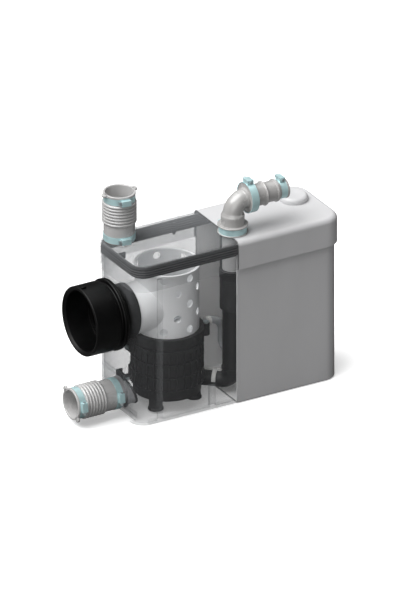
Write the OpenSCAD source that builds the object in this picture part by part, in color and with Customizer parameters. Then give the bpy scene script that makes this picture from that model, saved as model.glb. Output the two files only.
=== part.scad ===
/* [Tank] */
// Length of the tank along X
tank_l = 410; // [390:1:450]
// Depth of the tank along Y
tank_d = 146; // [142:1:170]
// Height of the tank rim above the ground
tank_h = 300; // [290:1:340]
// Plan radius of the tank's corners
tank_r = 28; // [22:1:36]
// Wall thickness of the tank
tank_wall = 3.5; // [2.5:0.5:4.5]
// Thickness of the tank floor
floor_t = 4; // [3:0.5:6]
// Radius of the tank's lower edge
foot_edge = 3; // [1:0.5:3.5]
// Place along X of the plane where the clear section meets the grey one
section_x = -3; // [-10:1:0]
// Depth of the shallow recess at the foot of the inlet end
recess_t = 3; // [2:0.5:4]
// Height of the recess at the foot of the inlet end
recess_h = 74; // [72:1:90]
// Width of the corner pillar left proud of the recess
pillar_w = 28; // [24:1:34]
// Height of the toe notch under the inlet end
toe_h = 12; // [6:1:14]
// Length of the toe notch along X
toe_l = 12; // [8:1:14]

/* [Cover] */
// How far the cover stands out past the tank on each side
cover_lap = 5; // [4.5:0.5:8]
// Height of the cover's top above the tank rim
crown = 16; // [14:1:24]
// Height of the cover's skirt, top included
cover_h = 54; // [48:1:64]
// Wall thickness of the cover
cover_wall = 3; // [2:0.5:3.5]
// Radius of the cover's top edge
cover_edge = 10; // [6:1:14]
// How far the gasket reaches down outside the rim
gasket_out = 11; // [8:1:16]
// How far the gasket reaches down inside the rim
gasket_in = 15; // [12:1:22]
// How far the gasket stands up above the rim
gasket_up = 8; // [6:0.5:9]
// Thickness of the gasket's outer lip
gasket_lip = 1; // [0.8:0.1:1.2]
// Thickness of the gasket's inner lip
gasket_skin = 2; // [1.5:0.5:3]

/* [WC connector] */
// Height of the connector's axis above the pump
wc_up = 50; // [48:1:54]
// Radius of the bore that takes the WC outlet
wc_bore = 55; // [50:0.5:58]
// Wall thickness of the bell
wc_wall = 8.5; // [6:0.5:10]
// Length of the bell past its groove
wc_bell = 48; // [40:1:60]
// Length of the flanged root outside the tank
wc_root = 27; // [24:1:34]
// Outer radius of the collar in the tank wall
collar_r = 49; // [47.5:0.5:51]
// How far the collar reaches into the tank
collar_in = 22; // [16:1:28]

/* [Basket] */
// Distance of the pump axis from the inlet end of the tank
pump_in = 102; // [98:1:108]
// Outer radius of the basket
basket_r = 56.5; // [54:0.5:60]
// Height of the basket above the pump
basket_h = 122.5; // [112:0.5:125]
// Wall thickness of the basket and its duct
basket_t = 2.5; // [2:0.5:3.5]
// Outer radius of the inlet duct
duct_r = 46; // [40:0.5:46.5]
// Radius of the round basket holes
hole_r = 7.1; // [4:0.1:7.6]
// Holes round each row
hole_cols = 7; // [5:1:8]
// Rows of holes
hole_rows = 5; // [3:1:5]

/* [Pump] */
// Height of the rubber feet
foot_h = 22; // [18:1:26]
// Radius of a rubber foot
foot_r = 12.5; // [10:0.5:14]
// Radius from the pump axis to the feet
foot_ring = 47; // [46:0.5:48]
// Height of the volute
volute_h = 18; // [17:0.5:22]
// Outer radius of the volute
volute_r = 60; // [58:0.5:61]
// Radius of the pump chamber
chamber_r = 50; // [48:0.5:52]
// Radius of the opening that the suction plate closes
plate_r = 41; // [38:0.5:42]
// Radius of the intake in the suction plate
intake_r = 16; // [12:0.5:22]
// Radius of the motor housing without its ribs
motor_r = 62; // [61:0.5:63]
// Wall thickness of the motor housing
motor_wall = 4; // [3:0.5:5]
// Height of the motor housing
motor_h = 76; // [72:1:84]
// Height of the motor's top cover
cap_h = 26; // [24:1:32]
// How far the housing's ribs stand out
rib_out = 3; // [2:0.5:3.5]
// Upright ribs round the housing
rib_n = 28; // [16:2:36]
// Radius of the shaft
shaft_r = 5; // [4:0.5:6]
// Outer radius of the shaft's bearings
bearing_r = 11; // [10:0.5:13]
// Radial clearance of the shaft in its bearings
shaft_gap = 0.05; // [0.02:0.01:0.09]
// Radius of the rotor
rotor_r = 26; // [20:0.5:32]
// Air gap between rotor and stator
air_gap = 1; // [0.5:0.1:2]
// Room over and under the rotor and stator core
core_room = 15; // [15:0.5:18]
// Radius of the impeller
impeller_r = 39.5; // [30:0.5:40]
// Reach of the cutter arms from the axis
cutter_r = 50; // [40:0.5:50.5]

/* [Discharge] */
// Distance of the riser from the inlet end of the tank
riser_in = 214; // [206:1:224]
// Place of the riser across the tank
riser_y = -36; // [-40:1:-30]
// Distance of the discharge run from the pump axis
run_offset = 52; // [50:0.5:54]
// Height of the discharge run above the ground
run_z = 28; // [26:0.5:28]
// Bore radius of the volute's outlet
outlet_bore = 10; // [8:0.5:10.5]
// Wall thickness of the black pipes
pipe_t = 3; // [2:0.5:3]
// Radius of the bend at the foot of the riser
foot_bend = 20; // [19:0.5:26]
// Height at which the riser is joined to the upper pipe
joint_z = 200; // [180:1:215]
// Length of the coupling sleeve
coupling_l = 77; // [60:1:84]
// How far the coupling sleeve reaches below the joint
coupling_low = 31; // [24:1:36]
// Wall thickness of the coupling sleeve
coupling_t = 4.5; // [3:0.5:6]
// How far the upper pipe stands above the cover
upper_out = 18; // [14:1:22]
// Height of the elbow's bend above the cover
elbow_up = 35; // [32:1:40]
// Radius of the elbow's bend
elbow_bend = 25; // [22:1:32]
// Outer radius of the elbow's pipe
elbow_r = 17.5; // [16:0.5:18.5]
// Wall thickness of the elbow and the outlet sleeve
elbow_t = 3; // [2:0.5:3.5]
// Radius of the bore that takes the discharge pipe
outlet_r = 14; // [12:0.5:15]
// Length of the outlet sleeve
outlet_l = 72; // [68:1:90]
// Thickness of the valve seat between the two flanges
seat_t = 5; // [4:0.5:8]

/* [Inlet sleeves] */
// Height of the low inlet's axis
low_z = 39.6; // [38:0.2:41]
// Distance of the top inlet from the inlet end of the tank
top_in = 28; // [28:1:40]
// Distance of the top inlet from the back of the tank
top_back = 34; // [32:1:44]
// Length of an inlet sleeve
sleeve_l = 93; // [86:1:110]
// Radius of the bore that takes the inlet pipe
sleeve_bore = 25; // [22:0.5:25.5]
// Wall thickness of an inlet sleeve
sleeve_t = 3; // [2.5:0.5:4]
// How far a pleat stands out from the sleeve
pleat_r = 2.8; // [1.5:0.1:2.8]
// Pleats on a sleeve
pleat_n = 7; // [3:1:7]
// Distance between the pleats
pleat_step = 5.9; // [5.8:0.1:6.6]
// Wall thickness of the stubs inside the sleeves
stub_t = 3; // [2:0.5:4]
// Length of the stubs inside the sleeves
stub_l = 30; // [20:1:34]
// Slant of the flap's seat from upright
flap_slant = 20; // [12:1:22]
// Thickness of the inlet flap
flap_t = 3; // [2:0.5:4]
// Radius of the inlet flap
flap_r = 27.5; // [26:0.5:28]

/* [Clamps] */
// Width of a clamp band
band_w = 12; // [8:0.5:13]
// Thickness of a clamp band
band_t = 1.2; // [0.8:0.1:1.6]
// Radius of a clamp's screw
screw_r = 2.6; // [2:0.1:3]
// Length of a clamp's screw housing
worm_l = 17; // [12:1:22]

/* [Vent and controls] */
// Distance of the vent from the outlet end of the tank
vent_in = 39; // [36:1:60]
// Place of the vent across the tank
vent_y = 22; // [10:1:26]
// Radius of the vent cap
vent_r = 25.5; // [23:0.5:28]
// Height of the vent cap
vent_h = 10; // [8:0.5:14]
// Width of the control box along X
box_w = 104; // [96:1:120]
// Depth of the control box along Y
box_d = 46; // [44:1:50]
// Height of the control box
box_h = 82; // [76:1:90]
// Wall thickness of the control box
box_t = 2.5; // [2:0.5:3]
// Depth of the control box's underside below the rim
box_drop = 120; // [116:1:130]
// Outer radius of the air bell
bell_r = 12; // [10:0.5:14]
// Bore radius of the cable gland
cable_r = 3.5; // [3:0.25:4.5]

/* [Hidden] */
$fn = 96;

// Gap left where a lifting or turning piece stands on another
seat_gap = 0.3;
// Overrun of a cut past the face that it opens
cut = 1;

// Tank and cover
in_l = tank_l - 2 * tank_wall;
in_d = tank_d - 2 * tank_wall;
in_r = tank_r - tank_wall;
end_x = -tank_l / 2;
front_y = -in_d / 2;
back_y = in_d / 2;
pillar_y = pillar_w - tank_d / 2;
cover_l = tank_l + 2 * cover_lap;
cover_d = tank_d + 2 * cover_lap;
cover_r = tank_r + cover_lap;
cover_top = tank_h + crown;
skirt_z = cover_top - cover_h;
gasket_top = tank_h + gasket_up;
gasket_edge = 4;
press_out = -1;
press_in = 4;
line_out = 0.6;
line_t = 1.5;
line_n = 3;
line_step = (gasket_out - 1) / 2.2;

// Heights of the pump stack
foot_top = floor_t + foot_h;
volute_top = foot_top + volute_h;
housing_top = volute_top + motor_h;
pump_top = housing_top + cap_h;
pump_x = end_x + pump_in;
wc_z = pump_top + wc_up;
plate_t = 3;
deck_t = 3;
base_t = 5;
core_z = volute_top + core_room;
core_h = motor_h - 2 * core_room;
bearing_h = 9;
bearing_low = volute_top + base_t;
bearing_high = pump_top - 9 - bearing_h;
winding_h = 6;
foot_angles = [-145, -25, 95];
lug_angles = [-15, 40, 140];
lug_r = 8;
lug_ring = motor_r + 7;
side_out = motor_r + 11;
side_y = 11;
side_w = 16;
side_t = 7;
side_drop = 11;
side_screw_z = -3;
basket_top = pump_top + basket_h;

// Discharge run from the volute to the riser
riser_x = end_x + riser_in;
run_dx = riser_x - pump_x;
run_dist = norm([run_dx, riser_y]);
run_angle = atan2(riser_y, run_dx) - asin(run_offset / run_dist);
run_total = sqrt(run_dist * run_dist - run_offset * run_offset);
stub_r = outlet_bore + 2.5;
run_r = stub_r + pipe_t;
riser_r = run_r + pipe_t;
run_start = sqrt(pow(volute_r + 1, 2) - pow(run_offset - run_r, 2));
stub_reach = 12;
riser_z = run_z + foot_bend + 2;
foot_pipe_top = riser_z + 30;

// Elbow and outlet above the cover
socket_in = riser_r + seat_gap;
socket_r = socket_in + 2.2;
base_seat = socket_in + 5;
base_lip = base_seat + 3.5;
base_w = 12;
lip_t = 2;
elbow_z = cover_top + seat_gap;
bend_z = cover_top + elbow_up;
line_z = bend_z + elbow_bend;
flange_x = riser_x + elbow_bend;
flange_t = 4;
flange_r = 27;
valve_x = flange_x + flange_t;
sleeve_x = valve_x + seat_t;
valve_bore = elbow_r;
throat = elbow_r - elbow_t;
check_t = 2;
check_r = valve_bore - 4.2;
check_up = valve_bore - 4.5;
hinge_x = sleeve_x + seat_gap + check_t + 0.1;
hinge_r = 1.9;
hinge_pin = 1;
notch_z = line_z + check_up - 1.42 * hinge_r - 0.5;
hinge_w = 4.6;
valve_l = 28;
flange_band = 2 * flange_t + seat_t + 1;
end_seat = outlet_r + 2.5;

// Turn of each clamp's worm housing round its axis
low_turn = -82.5;
top_turn = -97.5;
coupling_turn = 82.5;
base_turn = 97.5;

// Inlet sleeves and their flap
sleeve_r = sleeve_bore + sleeve_t;
sleeve_lip = 4;
stub_out = sleeve_bore - 0.5;
stub_bore = stub_out - stub_t;
band_seat = sleeve_r - 0.6;
low_band = 2;
high_band = sleeve_l - sleeve_lip - band_w;
pleat_low = high_band - 4 - (pleat_n - 1) * pleat_step;
ear_w = 11;
ear_reach = sleeve_r + 7;
top_x = end_x + top_in;
top_y = tank_d / 2 - top_back;
spigot_x = end_x + recess_t + tank_wall;
collar_t = 3;
collar_r_low = stub_out + 5;
seat_x = spigot_x + collar_t + 3 + stub_out * tan(flap_slant);
pivot_up = flap_r + 3.5;
pivot_out = flap_t + 0.7;
pin_r = 2;
barrel_r = 4;
barrel_w = 10;
ear_t = 3.5;

// Vent, controls and gland
vent_x = tank_l / 2 - vent_in;
cup_r = 20;
cup_t = 2;
cup_h = 22;
box_x = tank_l / 2 - 57 - box_w;
box_y = back_y - box_d;
box_z = tank_h - box_drop;
board_l = box_w * 0.42;
can_l = box_w * 0.36;
bell_x = box_x + 26;
bell_y = box_y + 21;
gland_y = 34;
gland_z = skirt_z - 30;
thread_r = cable_r + 3;
hex_r = thread_r + 4;

// Places inside the tank that follow from the values above
cutter_z = pump_top + basket_t + 3;
coupling_z = joint_z - coupling_low;
coupling_r = riser_r + coupling_t;
coupling_band = coupling_z + coupling_l - 4 - band_w;
front_rib_x = end_x + 48;
front_rib_r = 6;
front_rib_top = tank_h - gasket_in - 8;
hose_r = 6.4;
hose_t = 2.2;
barb_r = hose_r - 1.2;
barb_bore = 3;
barb_l = 6;
hose_z = housing_top + cap_h - 14;
hose_bend = 22;
hose_turn = 14;
hose_low = 78;
nipple_y = 4;
nipple_reach = motor_r + 14;
fitting_x = pump_x + motor_r + 18;
clip_t = 3;
clip_w = 7;
clip_along = run_total - 31;
tie_l = 30;
tie_w = 6;
post_x = pump_x + 47;
post_w = 12;
post_d = 8;
post_top = run_z + run_r;

// Outline of a tank part seen from above, with round corners
module plan(l, d, r) {
    square([l - 2 * r, d], center = true);
    square([l, d - 2 * r], center = true);
    for (sx = [-1, 1], sy = [-1, 1])
        translate([sx * (l / 2 - r), sy * (d / 2 - r)]) circle(r);
}

// Quarter disc that rounds an edge
module quarter(e) {
    intersection() {
        circle(e);
        square(e);
    }
}

// Upright block with round corners and a rounded top edge
module block(l, d, r, h, e) {
    linear_extrude(h - e) plan(l, d, r);
    translate([0, 0, h - e]) {
        linear_extrude(e) plan(l - 2 * e, d - 2 * e, r - e);
        for (c = [[1, 1, 0], [-1, 1, 90], [-1, -1, 180], [1, -1, 270]])
            translate([c[0] * (l / 2 - r), c[1] * (d / 2 - r), 0])
                rotate([0, 0, c[2]]) rotate_extrude(angle = 90) translate([r - e, 0]) quarter(e);
        for (turn = [0, 180]) {
            rotate([0, 0, turn]) edge_run(l / 2, d - 2 * r, e);
            rotate([0, 0, turn + 90]) edge_run(d / 2, l - 2 * r, e);
        }
    }
}

// Straight run of a rounded edge along Y
module edge_run(reach, len, e) {
    translate([reach - e, len / 2, 0]) rotate([90, 0, 0]) linear_extrude(len) quarter(e);
}

// Everything on the inlet side of the section plane
module inlet_side() {
    intersection() {
        children();
        translate([section_x - 2 * tank_l, -tank_l, -tank_h]) cube([2 * tank_l, 2 * tank_l, 3 * tank_h]);
    }
}

// Everything on the outlet side of the section plane
module outlet_side() {
    intersection() {
        children();
        translate([section_x, -tank_l, -tank_h]) cube([2 * tank_l, 2 * tank_l, 3 * tank_h]);
    }
}

// Puts a child that stands along +Z on the inlet end, pointing out along -X
module inlet_end(x, z) {
    translate([x, 0, z]) rotate([0, -90, 0]) children();
}

// Puts a child that stands along +Z on the discharge line, pointing along +X
module outlet_line(x) {
    translate([x, riser_y, line_z]) rotate([0, 90, 0]) children();
}

// Plain tube along +Z
module tube(r, bore, h) {
    difference() {
        cylinder(r = r, h = h);
        translate([0, 0, -cut]) cylinder(r = bore, h = h + 2 * cut);
    }
}

// Quarter bend of a round bar: starts at the origin along +Z and ends along +X
module bend(r, radius) {
    translate([radius, 0, 0]) rotate([90, 0, 0]) rotate([0, 0, 90])
        rotate_extrude(angle = 90) translate([radius, 0]) circle(r);
}

// Tank body before it is split at the section plane
module tank_body() {
    difference() {
        translate([0, 0, tank_h]) mirror([0, 0, 1]) block(tank_l, tank_d, tank_r, tank_h, foot_edge);
        translate([0, 0, floor_t]) linear_extrude(tank_h) plan(in_l, in_d, in_r);
    }
}

// Solid at the foot of the inlet end: thickness out of the wall, up from the floor and in along X
module end_block(reach, wall_h, step_h, step_l) {
    translate([end_x, pillar_y, 0]) {
        cube([reach, tank_d, wall_h]);
        cube([step_l, tank_d, step_h]);
    }
}

// Upright post on the front wall beside the discharge run
module bracket_post() {
    translate([post_x, front_y, floor_t]) cube([post_w, post_d, post_top - floor_t]);
}

module tank_clear_section() {
    color([0.80, 0.82, 0.83, 0.35]) difference() {
        union() {
            inlet_side() tank_body();
            intersection() {
                translate([0, 0, floor_t]) linear_extrude(tank_h - floor_t) plan(in_l, in_d, in_r);
                union() {
                    end_block(recess_t + tank_wall, recess_h + tank_wall, toe_h + floor_t,
                        toe_l + tank_wall);
                    translate([front_rib_x, front_y, 0]) cylinder(r = front_rib_r, h = front_rib_top);
                    bracket_post();
                }
            }
        }
        translate([-cut, 0, -cut]) end_block(recess_t + cut, recess_h + cut, toe_h + cut, toe_l + cut);
        inlet_end(end_x + 2 * tank_wall, wc_z) cylinder(r = collar_r, h = 4 * tank_wall);
        inlet_end(end_x + toe_l + 2 * tank_wall, low_z) cylinder(r = stub_out, h = toe_l + 4 * tank_wall);
    }
}

module tank_grey_section() {
    color([0.50, 0.51, 0.52]) difference() {
        outlet_side() tank_body();
        translate([tank_l / 2 - 2 * tank_wall, gland_y, gland_z]) rotate([0, 90, 0])
            cylinder(r = thread_r, h = 4 * tank_wall);
    }
}

// Cover shell before it is split at the section plane, with its riser hole
module cover_body() {
    difference() {
        translate([0, 0, skirt_z]) block(cover_l, cover_d, cover_r, cover_h, cover_edge);
        translate([0, 0, skirt_z - cut])
            block(cover_l - 2 * cover_wall, cover_d - 2 * cover_wall, cover_r - cover_wall,
                cover_h - cover_wall + cut, cover_edge - cover_wall);
        translate([riser_x, riser_y, cover_top - 2 * cover_wall])
            cylinder(r = riser_r + 1, h = 3 * cover_wall);
    }
    rim_ring(press_out, press_in, gasket_top + seat_gap, cover_top - cover_wall / 2 - gasket_top - seat_gap);
}

module cover_clear_section() {
    color([0.85, 0.86, 0.87, 0.35]) {
        difference() {
            union() {
                inlet_side() cover_body();
                translate([top_x, top_y, cover_top - cover_wall])
                    cylinder(r = stub_out, h = stub_l + cover_wall);
            }
            translate([top_x, top_y, cover_top - 2 * cover_wall])
                cylinder(r = stub_bore, h = stub_l + 3 * cover_wall);
        }
    }
}

module cover_grey_section() {
    color([0.83, 0.83, 0.84]) difference() {
        union() {
            outlet_side() cover_body();
            translate([vent_x, vent_y, cover_top - cup_h]) cylinder(r = cup_r, h = cup_h - cut);
        }
        translate([vent_x, vent_y, cover_top - cup_h + cup_t]) cylinder(r = cup_r - cup_t, h = cup_h);
        translate([vent_x, vent_y, cover_top - cup_h - cut]) {
            cylinder(r = 4, h = 2 * cup_t);
            for (a = [0 : 60 : 300]) rotate([0, 0, a]) translate([10, 0, 0]) cylinder(r = 2.5, h = 2 * cup_t);
        }
    }
}

// Ring that stands on the rim: an outer and an inner offset from the tank's outline
module rim_ring(out, in, z, h) {
    translate([0, 0, z]) linear_extrude(h) difference() {
        plan(tank_l + 2 * out, tank_d + 2 * out, tank_r + out);
        plan(tank_l - 2 * in, tank_d - 2 * in, tank_r - in);
    }
}

module rim_gasket() {
    low = tank_h - gasket_out;
    color([0.22, 0.22, 0.23]) union() {
        difference() {
            translate([0, 0, low])
                block(tank_l + 2 * gasket_lip, tank_d + 2 * gasket_lip, tank_r + gasket_lip,
                    gasket_top - low, gasket_edge);
            translate([0, 0, low - cut]) linear_extrude(gasket_out + cut) plan(tank_l, tank_d, tank_r);
            translate([0, 0, low]) linear_extrude(gasket_top - low + cut)
                plan(in_l - 2 * gasket_skin, in_d - 2 * gasket_skin, in_r - gasket_skin);
        }
        rim_ring(-tank_wall, tank_wall + gasket_skin, tank_h - gasket_in, gasket_in + cut);
        for (k = [0 : line_n - 1])
            rim_ring(gasket_lip + line_out, -gasket_lip / 2, low + 0.5 + line_step * k, line_t);
        translate([end_x + tank_wall + gasket_skin - cut, 3.5, tank_h - 5]) cube([16, 3, gasket_up + 4]);
        translate([pump_x + 50, back_y - gasket_skin - 3, tank_h - gasket_in - 3])
            cube([5, 4, gasket_in + gasket_up]);
    }
}

// Half section of the WC connector: distance from the axis, then distance out from the tank's end face
module connector_section() {
    bell_out = wc_bore + wc_wall;
    mouth = wc_root + wc_bell;
    tunnel = duct_r - basket_t;
    difference() {
        union() {
            translate([0, -collar_in]) square([collar_r, collar_in + 6]);
            translate([0, 5]) square([collar_r + 3, 7]);
            translate([0, 11]) square([bell_out + 1.5, 4]);
            translate([0, 14]) square([bell_out - 1, 2]);
            translate([0, 15]) square([bell_out + 0.5, 5]);
            translate([bell_out + 0.5, 17.5]) circle(1.4);
            translate([0, 19]) square([bell_out - 5, 8]);
            translate([0, wc_root - 1]) square([bell_out - 2, 3]);
            translate([0, wc_root + 1]) square([bell_out, wc_bell - 5]);
            translate([bell_out - 4, mouth - 4]) circle(4);
            translate([0, mouth - 5]) square([bell_out - 4, 5]);
        }
        translate([-cut, -collar_in - cut]) square([duct_r + cut, collar_in + 3 + cut]);
        translate([-cut, 0]) square([tunnel + cut, mouth + cut]);
        translate([0, wc_root - 5]) square([wc_bore, wc_bell + 6]);
        polygon([[0, mouth - 4], [wc_bore, mouth - 4], [wc_bore + 4, mouth + 0.01], [0, mouth + 0.01]]);
    }
    for (k = [0, 1])
        translate([wc_bore - 2.5, wc_root - 5 + 4 * k]) square([3.5, 1.5]);
}

module wc_connector() {
    color([0.05, 0.05, 0.05]) inlet_end(end_x, wc_z) union() {
        rotate_extrude() connector_section();
        translate([wc_bore + wc_wall - 2, -3, wc_root + wc_bell - 12]) cube([5, 6, 9]);
    }
}

// Drill through the basket's wall at one angle and height
module basket_cut(angle, z, r) {
    translate([pump_x, 0, z]) rotate([0, 90, angle])
        translate([0, 0, basket_r - 3 * basket_t]) cylinder(r = r, h = 5 * basket_t);
}

// True where a hole at this angle and height clears the duct
function clear_of_duct(angle, z) =
    cos(angle) > 0 || norm([basket_r * sin(angle), z - wc_z]) > duct_r + hole_r + 2;

module macerator_basket() {
    floor_bore = shaft_r + 4;
    low_row = pump_top + 12.4;
    row_step = (basket_h - 24.5) / (hole_rows - 1);
    turn = 180 / hole_cols;
    color([0.78, 0.79, 0.80]) difference() {
        union() {
            translate([pump_x, 0, pump_top]) cylinder(r = basket_r, h = basket_h);
            translate([pump_x, 0, basket_top - 4]) cylinder(r = basket_r + 2, h = 4);
            inlet_end(pump_x, wc_z) cylinder(r = duct_r, h = pump_in + 2);
        }
        translate([pump_x, 0, pump_top + basket_t]) cylinder(r = basket_r - basket_t, h = basket_h);
        translate([pump_x, 0, pump_top - cut]) cylinder(r = floor_bore, h = 2 * basket_t);
        inlet_end(pump_x, wc_z) cylinder(r = duct_r - basket_t, h = pump_in + 4);
        for (row = [0 : hole_rows - 1], col = [0 : hole_cols - 1]) {
            angle = turn * (2 * col + row % 2) - 75;
            z = low_row + row_step * row;
            if (clear_of_duct(angle, z)) basket_cut(angle, z, hole_r);
        }
    }
}

// Half section of an inlet sleeve, with its base at 0 and its mouth at the top
module sleeve_section() {
    difference() {
        union() {
            square([sleeve_r, sleeve_l]);
            translate([0, sleeve_l - sleeve_lip]) square([sleeve_r + 1, sleeve_lip]);
            for (k = [0 : pleat_n - 1])
                translate([sleeve_r, pleat_low + k * pleat_step]) circle(pleat_r);
        }
        translate([-cut, stub_l]) square([sleeve_bore + cut, sleeve_l]);
        translate([-cut, -cut]) square([stub_out + cut, stub_l + 2 * cut]);
        for (z = [low_band, high_band])
            translate([band_seat, z]) square([sleeve_r, band_w]);
    }
}

// Ribbed rubber sleeve along +Z, with two pull ears on its mouth
module inlet_sleeve(ear_angle) {
    rotate_extrude() sleeve_section();
    for (turn = [0, 180]) rotate([0, 0, ear_angle + turn])
        translate([0, 0, sleeve_l - sleeve_lip]) difference() {
            union() {
                translate([sleeve_r - 1, -ear_w / 2, 0])
                    cube([ear_reach - ear_w / 2 - sleeve_r + 1, ear_w, sleeve_lip]);
                translate([ear_reach - ear_w / 2, 0, 0]) cylinder(r = ear_w / 2, h = sleeve_lip);
            }
            translate([0, 0, -cut]) cylinder(r = sleeve_r, h = sleeve_lip + 2 * cut);
        }
}

// Band clamp along +Z round a seat, with its screw housing at one angle
module band_clamp(r, w, angle) {
    out = r + band_t;
    rotate([0, 0, angle]) difference() {
        union() {
            cylinder(r = out, h = w);
            translate([out - 1.5, -worm_l / 2, 1]) cube([2 * screw_r + 3, worm_l, w - 2]);
        }
        translate([0, 0, -cut]) cylinder(r = r, h = w + 2 * cut);
        translate([out + screw_r, 0, w / 2]) rotate([90, 0, 0])
            cylinder(r = screw_r, h = worm_l + 2 * cut, center = true);
    }
}

// Screw of a band clamp, with a hexagon head
module clamp_screw(r, w, angle) {
    rotate([0, 0, angle]) translate([r + band_t + screw_r, -worm_l / 2 - 3, w / 2]) rotate([-90, 0, 0])
        difference() {
            union() {
                cylinder(r = screw_r, h = worm_l + 5);
                translate([0, 0, -2]) cylinder(r = screw_r + 1.6, h = 5, $fn = 6);
            }
            translate([-0.6, -screw_r - 2, -3]) cube([1.2, 2 * screw_r + 4, 2.2]);
        }
}

// Places of the inlet clamps: bottom and top band of a sleeve
module sleeve_bands() {
    for (z = [low_band, high_band]) translate([0, 0, z]) children();
}

module low_inlet_spigot() {
    color([0.62, 0.63, 0.64]) difference() {
        union() {
            inlet_end(seat_x + stub_out, low_z)
                cylinder(r = stub_out, h = seat_x + stub_out - end_x + stub_l);
            inlet_end(spigot_x + collar_t, low_z) intersection() {
                cylinder(r = collar_r_low, h = collar_t);
                translate([floor_t - low_z + toe_h + 0.5, -tank_d / 2, 0])
                    cube([tank_d, tank_d, collar_t]);
            }
        }
        inlet_end(seat_x + 2 * stub_out, low_z) cylinder(r = stub_bore, h = tank_l);
        translate([seat_x, 0, low_z]) rotate([0, -flap_slant, 0])
            translate([0, -tank_d / 2, -tank_d]) cube([tank_d, tank_d, 2 * tank_d]);
    }
}

module low_inlet_sleeve() {
    color([0.62, 0.61, 0.60]) inlet_end(end_x, low_z) inlet_sleeve(45);
}

module low_inlet_clamps() {
    color([0.60, 0.74, 0.75]) inlet_end(end_x, low_z) sleeve_bands() band_clamp(band_seat, band_w, low_turn);
}

module low_inlet_clamp_screws() {
    color([0.75, 0.77, 0.78]) inlet_end(end_x, low_z) sleeve_bands() clamp_screw(band_seat, band_w, low_turn);
}

// Puts a child in the flap's frame: +X square to the seat, +Z up the slant
module flap_frame() {
    translate([seat_x, 0, low_z]) rotate([0, -flap_slant, 0]) children();
}

module flap_bracket() {
    ear_x = seat_x + pivot_out * cos(flap_slant) - pivot_up * sin(flap_slant) + barrel_r;
    low = low_z + stub_out;
    high = recess_h + tank_wall;
    color([0.14, 0.14, 0.15]) difference() {
        union() {
            translate([spigot_x, -barrel_w - ear_t, low])
                cube([collar_t, 2 * (barrel_w + ear_t), high - low]);
            for (side = [-1, 1])
                translate([spigot_x, side * (barrel_w + 0.3 + ear_t / 2) - ear_t / 2, low + 2.5])
                    cube([ear_x - spigot_x, ear_t, high - low - 2.5]);
        }
        inlet_end(spigot_x + collar_t, low_z) cylinder(r = collar_r_low, h = 2 * collar_t);
        flap_frame() translate([pivot_out, 0, pivot_up]) rotate([90, 0, 0])
            cylinder(r = pin_r, h = 4 * barrel_w, center = true);
    }
}

module flap_pin() {
    half = barrel_w + ear_t + 1;
    color([0.72, 0.73, 0.74]) flap_frame() translate([pivot_out, 0, pivot_up]) rotate([90, 0, 0]) {
        cylinder(r = pin_r, h = 2 * half, center = true);
        translate([0, 0, half - 0.5]) cylinder(r = pin_r + 1, h = 1.5);
    }
}

module inlet_flap() {
    color([0.10, 0.10, 0.10]) flap_frame() difference() {
        union() {
            translate([seat_gap, 0, 0]) rotate([0, 90, 0]) cylinder(r = flap_r, h = flap_t);
            translate([seat_gap + flap_t - cut, 0, 0]) rotate([0, 90, 0])
                cylinder(r = flap_r - 9, h = 2 * cut);
            translate([seat_gap, -barrel_w + 0.3, flap_r - 8])
                cube([flap_t, 2 * barrel_w - 0.6, pivot_up - flap_r + 8]);
            translate([pivot_out, 0, pivot_up]) rotate([90, 0, 0])
                cylinder(r = barrel_r - 0.6, h = 2 * barrel_w - 0.6, center = true);
        }
        translate([pivot_out, 0, pivot_up]) rotate([90, 0, 0])
            cylinder(r = pin_r + 0.05, h = 3 * barrel_w, center = true);
    }
}

module top_inlet_sleeve() {
    color([0.62, 0.61, 0.60]) translate([top_x, top_y, cover_top]) inlet_sleeve(0);
}

module top_inlet_clamps() {
    color([0.60, 0.74, 0.75]) translate([top_x, top_y, cover_top]) sleeve_bands()
        band_clamp(band_seat, band_w, top_turn);
}

module top_inlet_clamp_screws() {
    color([0.75, 0.77, 0.78]) translate([top_x, top_y, cover_top]) sleeve_bands()
        clamp_screw(band_seat, band_w, top_turn);
}

// Puts a child on the pump axis at one height
module on_axis(z) {
    translate([pump_x, 0, z]) children();
}

module pump_feet() {
    color([0.16, 0.16, 0.17]) for (a = foot_angles) on_axis(floor_t) rotate([0, 0, a])
        translate([foot_ring, 0, 0]) {
            cylinder(r = foot_r, h = foot_h);
            cylinder(r = foot_r + 1.5, h = 3);
        }
}

// Puts a child that stands along +Z on the discharge run, from its foot on the pump side
module on_run(along) {
    translate([pump_x, 0, run_z]) rotate([0, 0, run_angle]) translate([0, run_offset, 0])
        translate([along, 0, 0]) rotate([0, 90, 0]) children();
}

module volute_housing() {
    chamber_z = foot_top + plate_t;
    color([0.15, 0.15, 0.16]) difference() {
        union() {
            on_axis(foot_top) cylinder(r = volute_r, h = volute_h);
            on_run(-14) cylinder(r = stub_r + 2.5, h = run_start + 14);
            on_run(0) cylinder(r = stub_r, h = run_start + stub_reach);
        }
        on_axis(foot_top - 20) cylinder(r = plate_r, h = 20 + plate_t + cut);
        on_axis(chamber_z) cylinder(r = chamber_r, h = volute_top - deck_t - chamber_z);
        on_axis(foot_top) cylinder(r = shaft_r + 4, h = volute_h + cut);
        on_run(0) cylinder(r = outlet_bore, h = run_start + stub_reach + cut);
    }
}

module suction_plate() {
    color([0.20, 0.20, 0.21]) on_axis(foot_top) difference() {
        cylinder(r = plate_r, h = plate_t);
        translate([0, 0, -cut]) cylinder(r = intake_r, h = plate_t + 2 * cut);
    }
}

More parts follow.
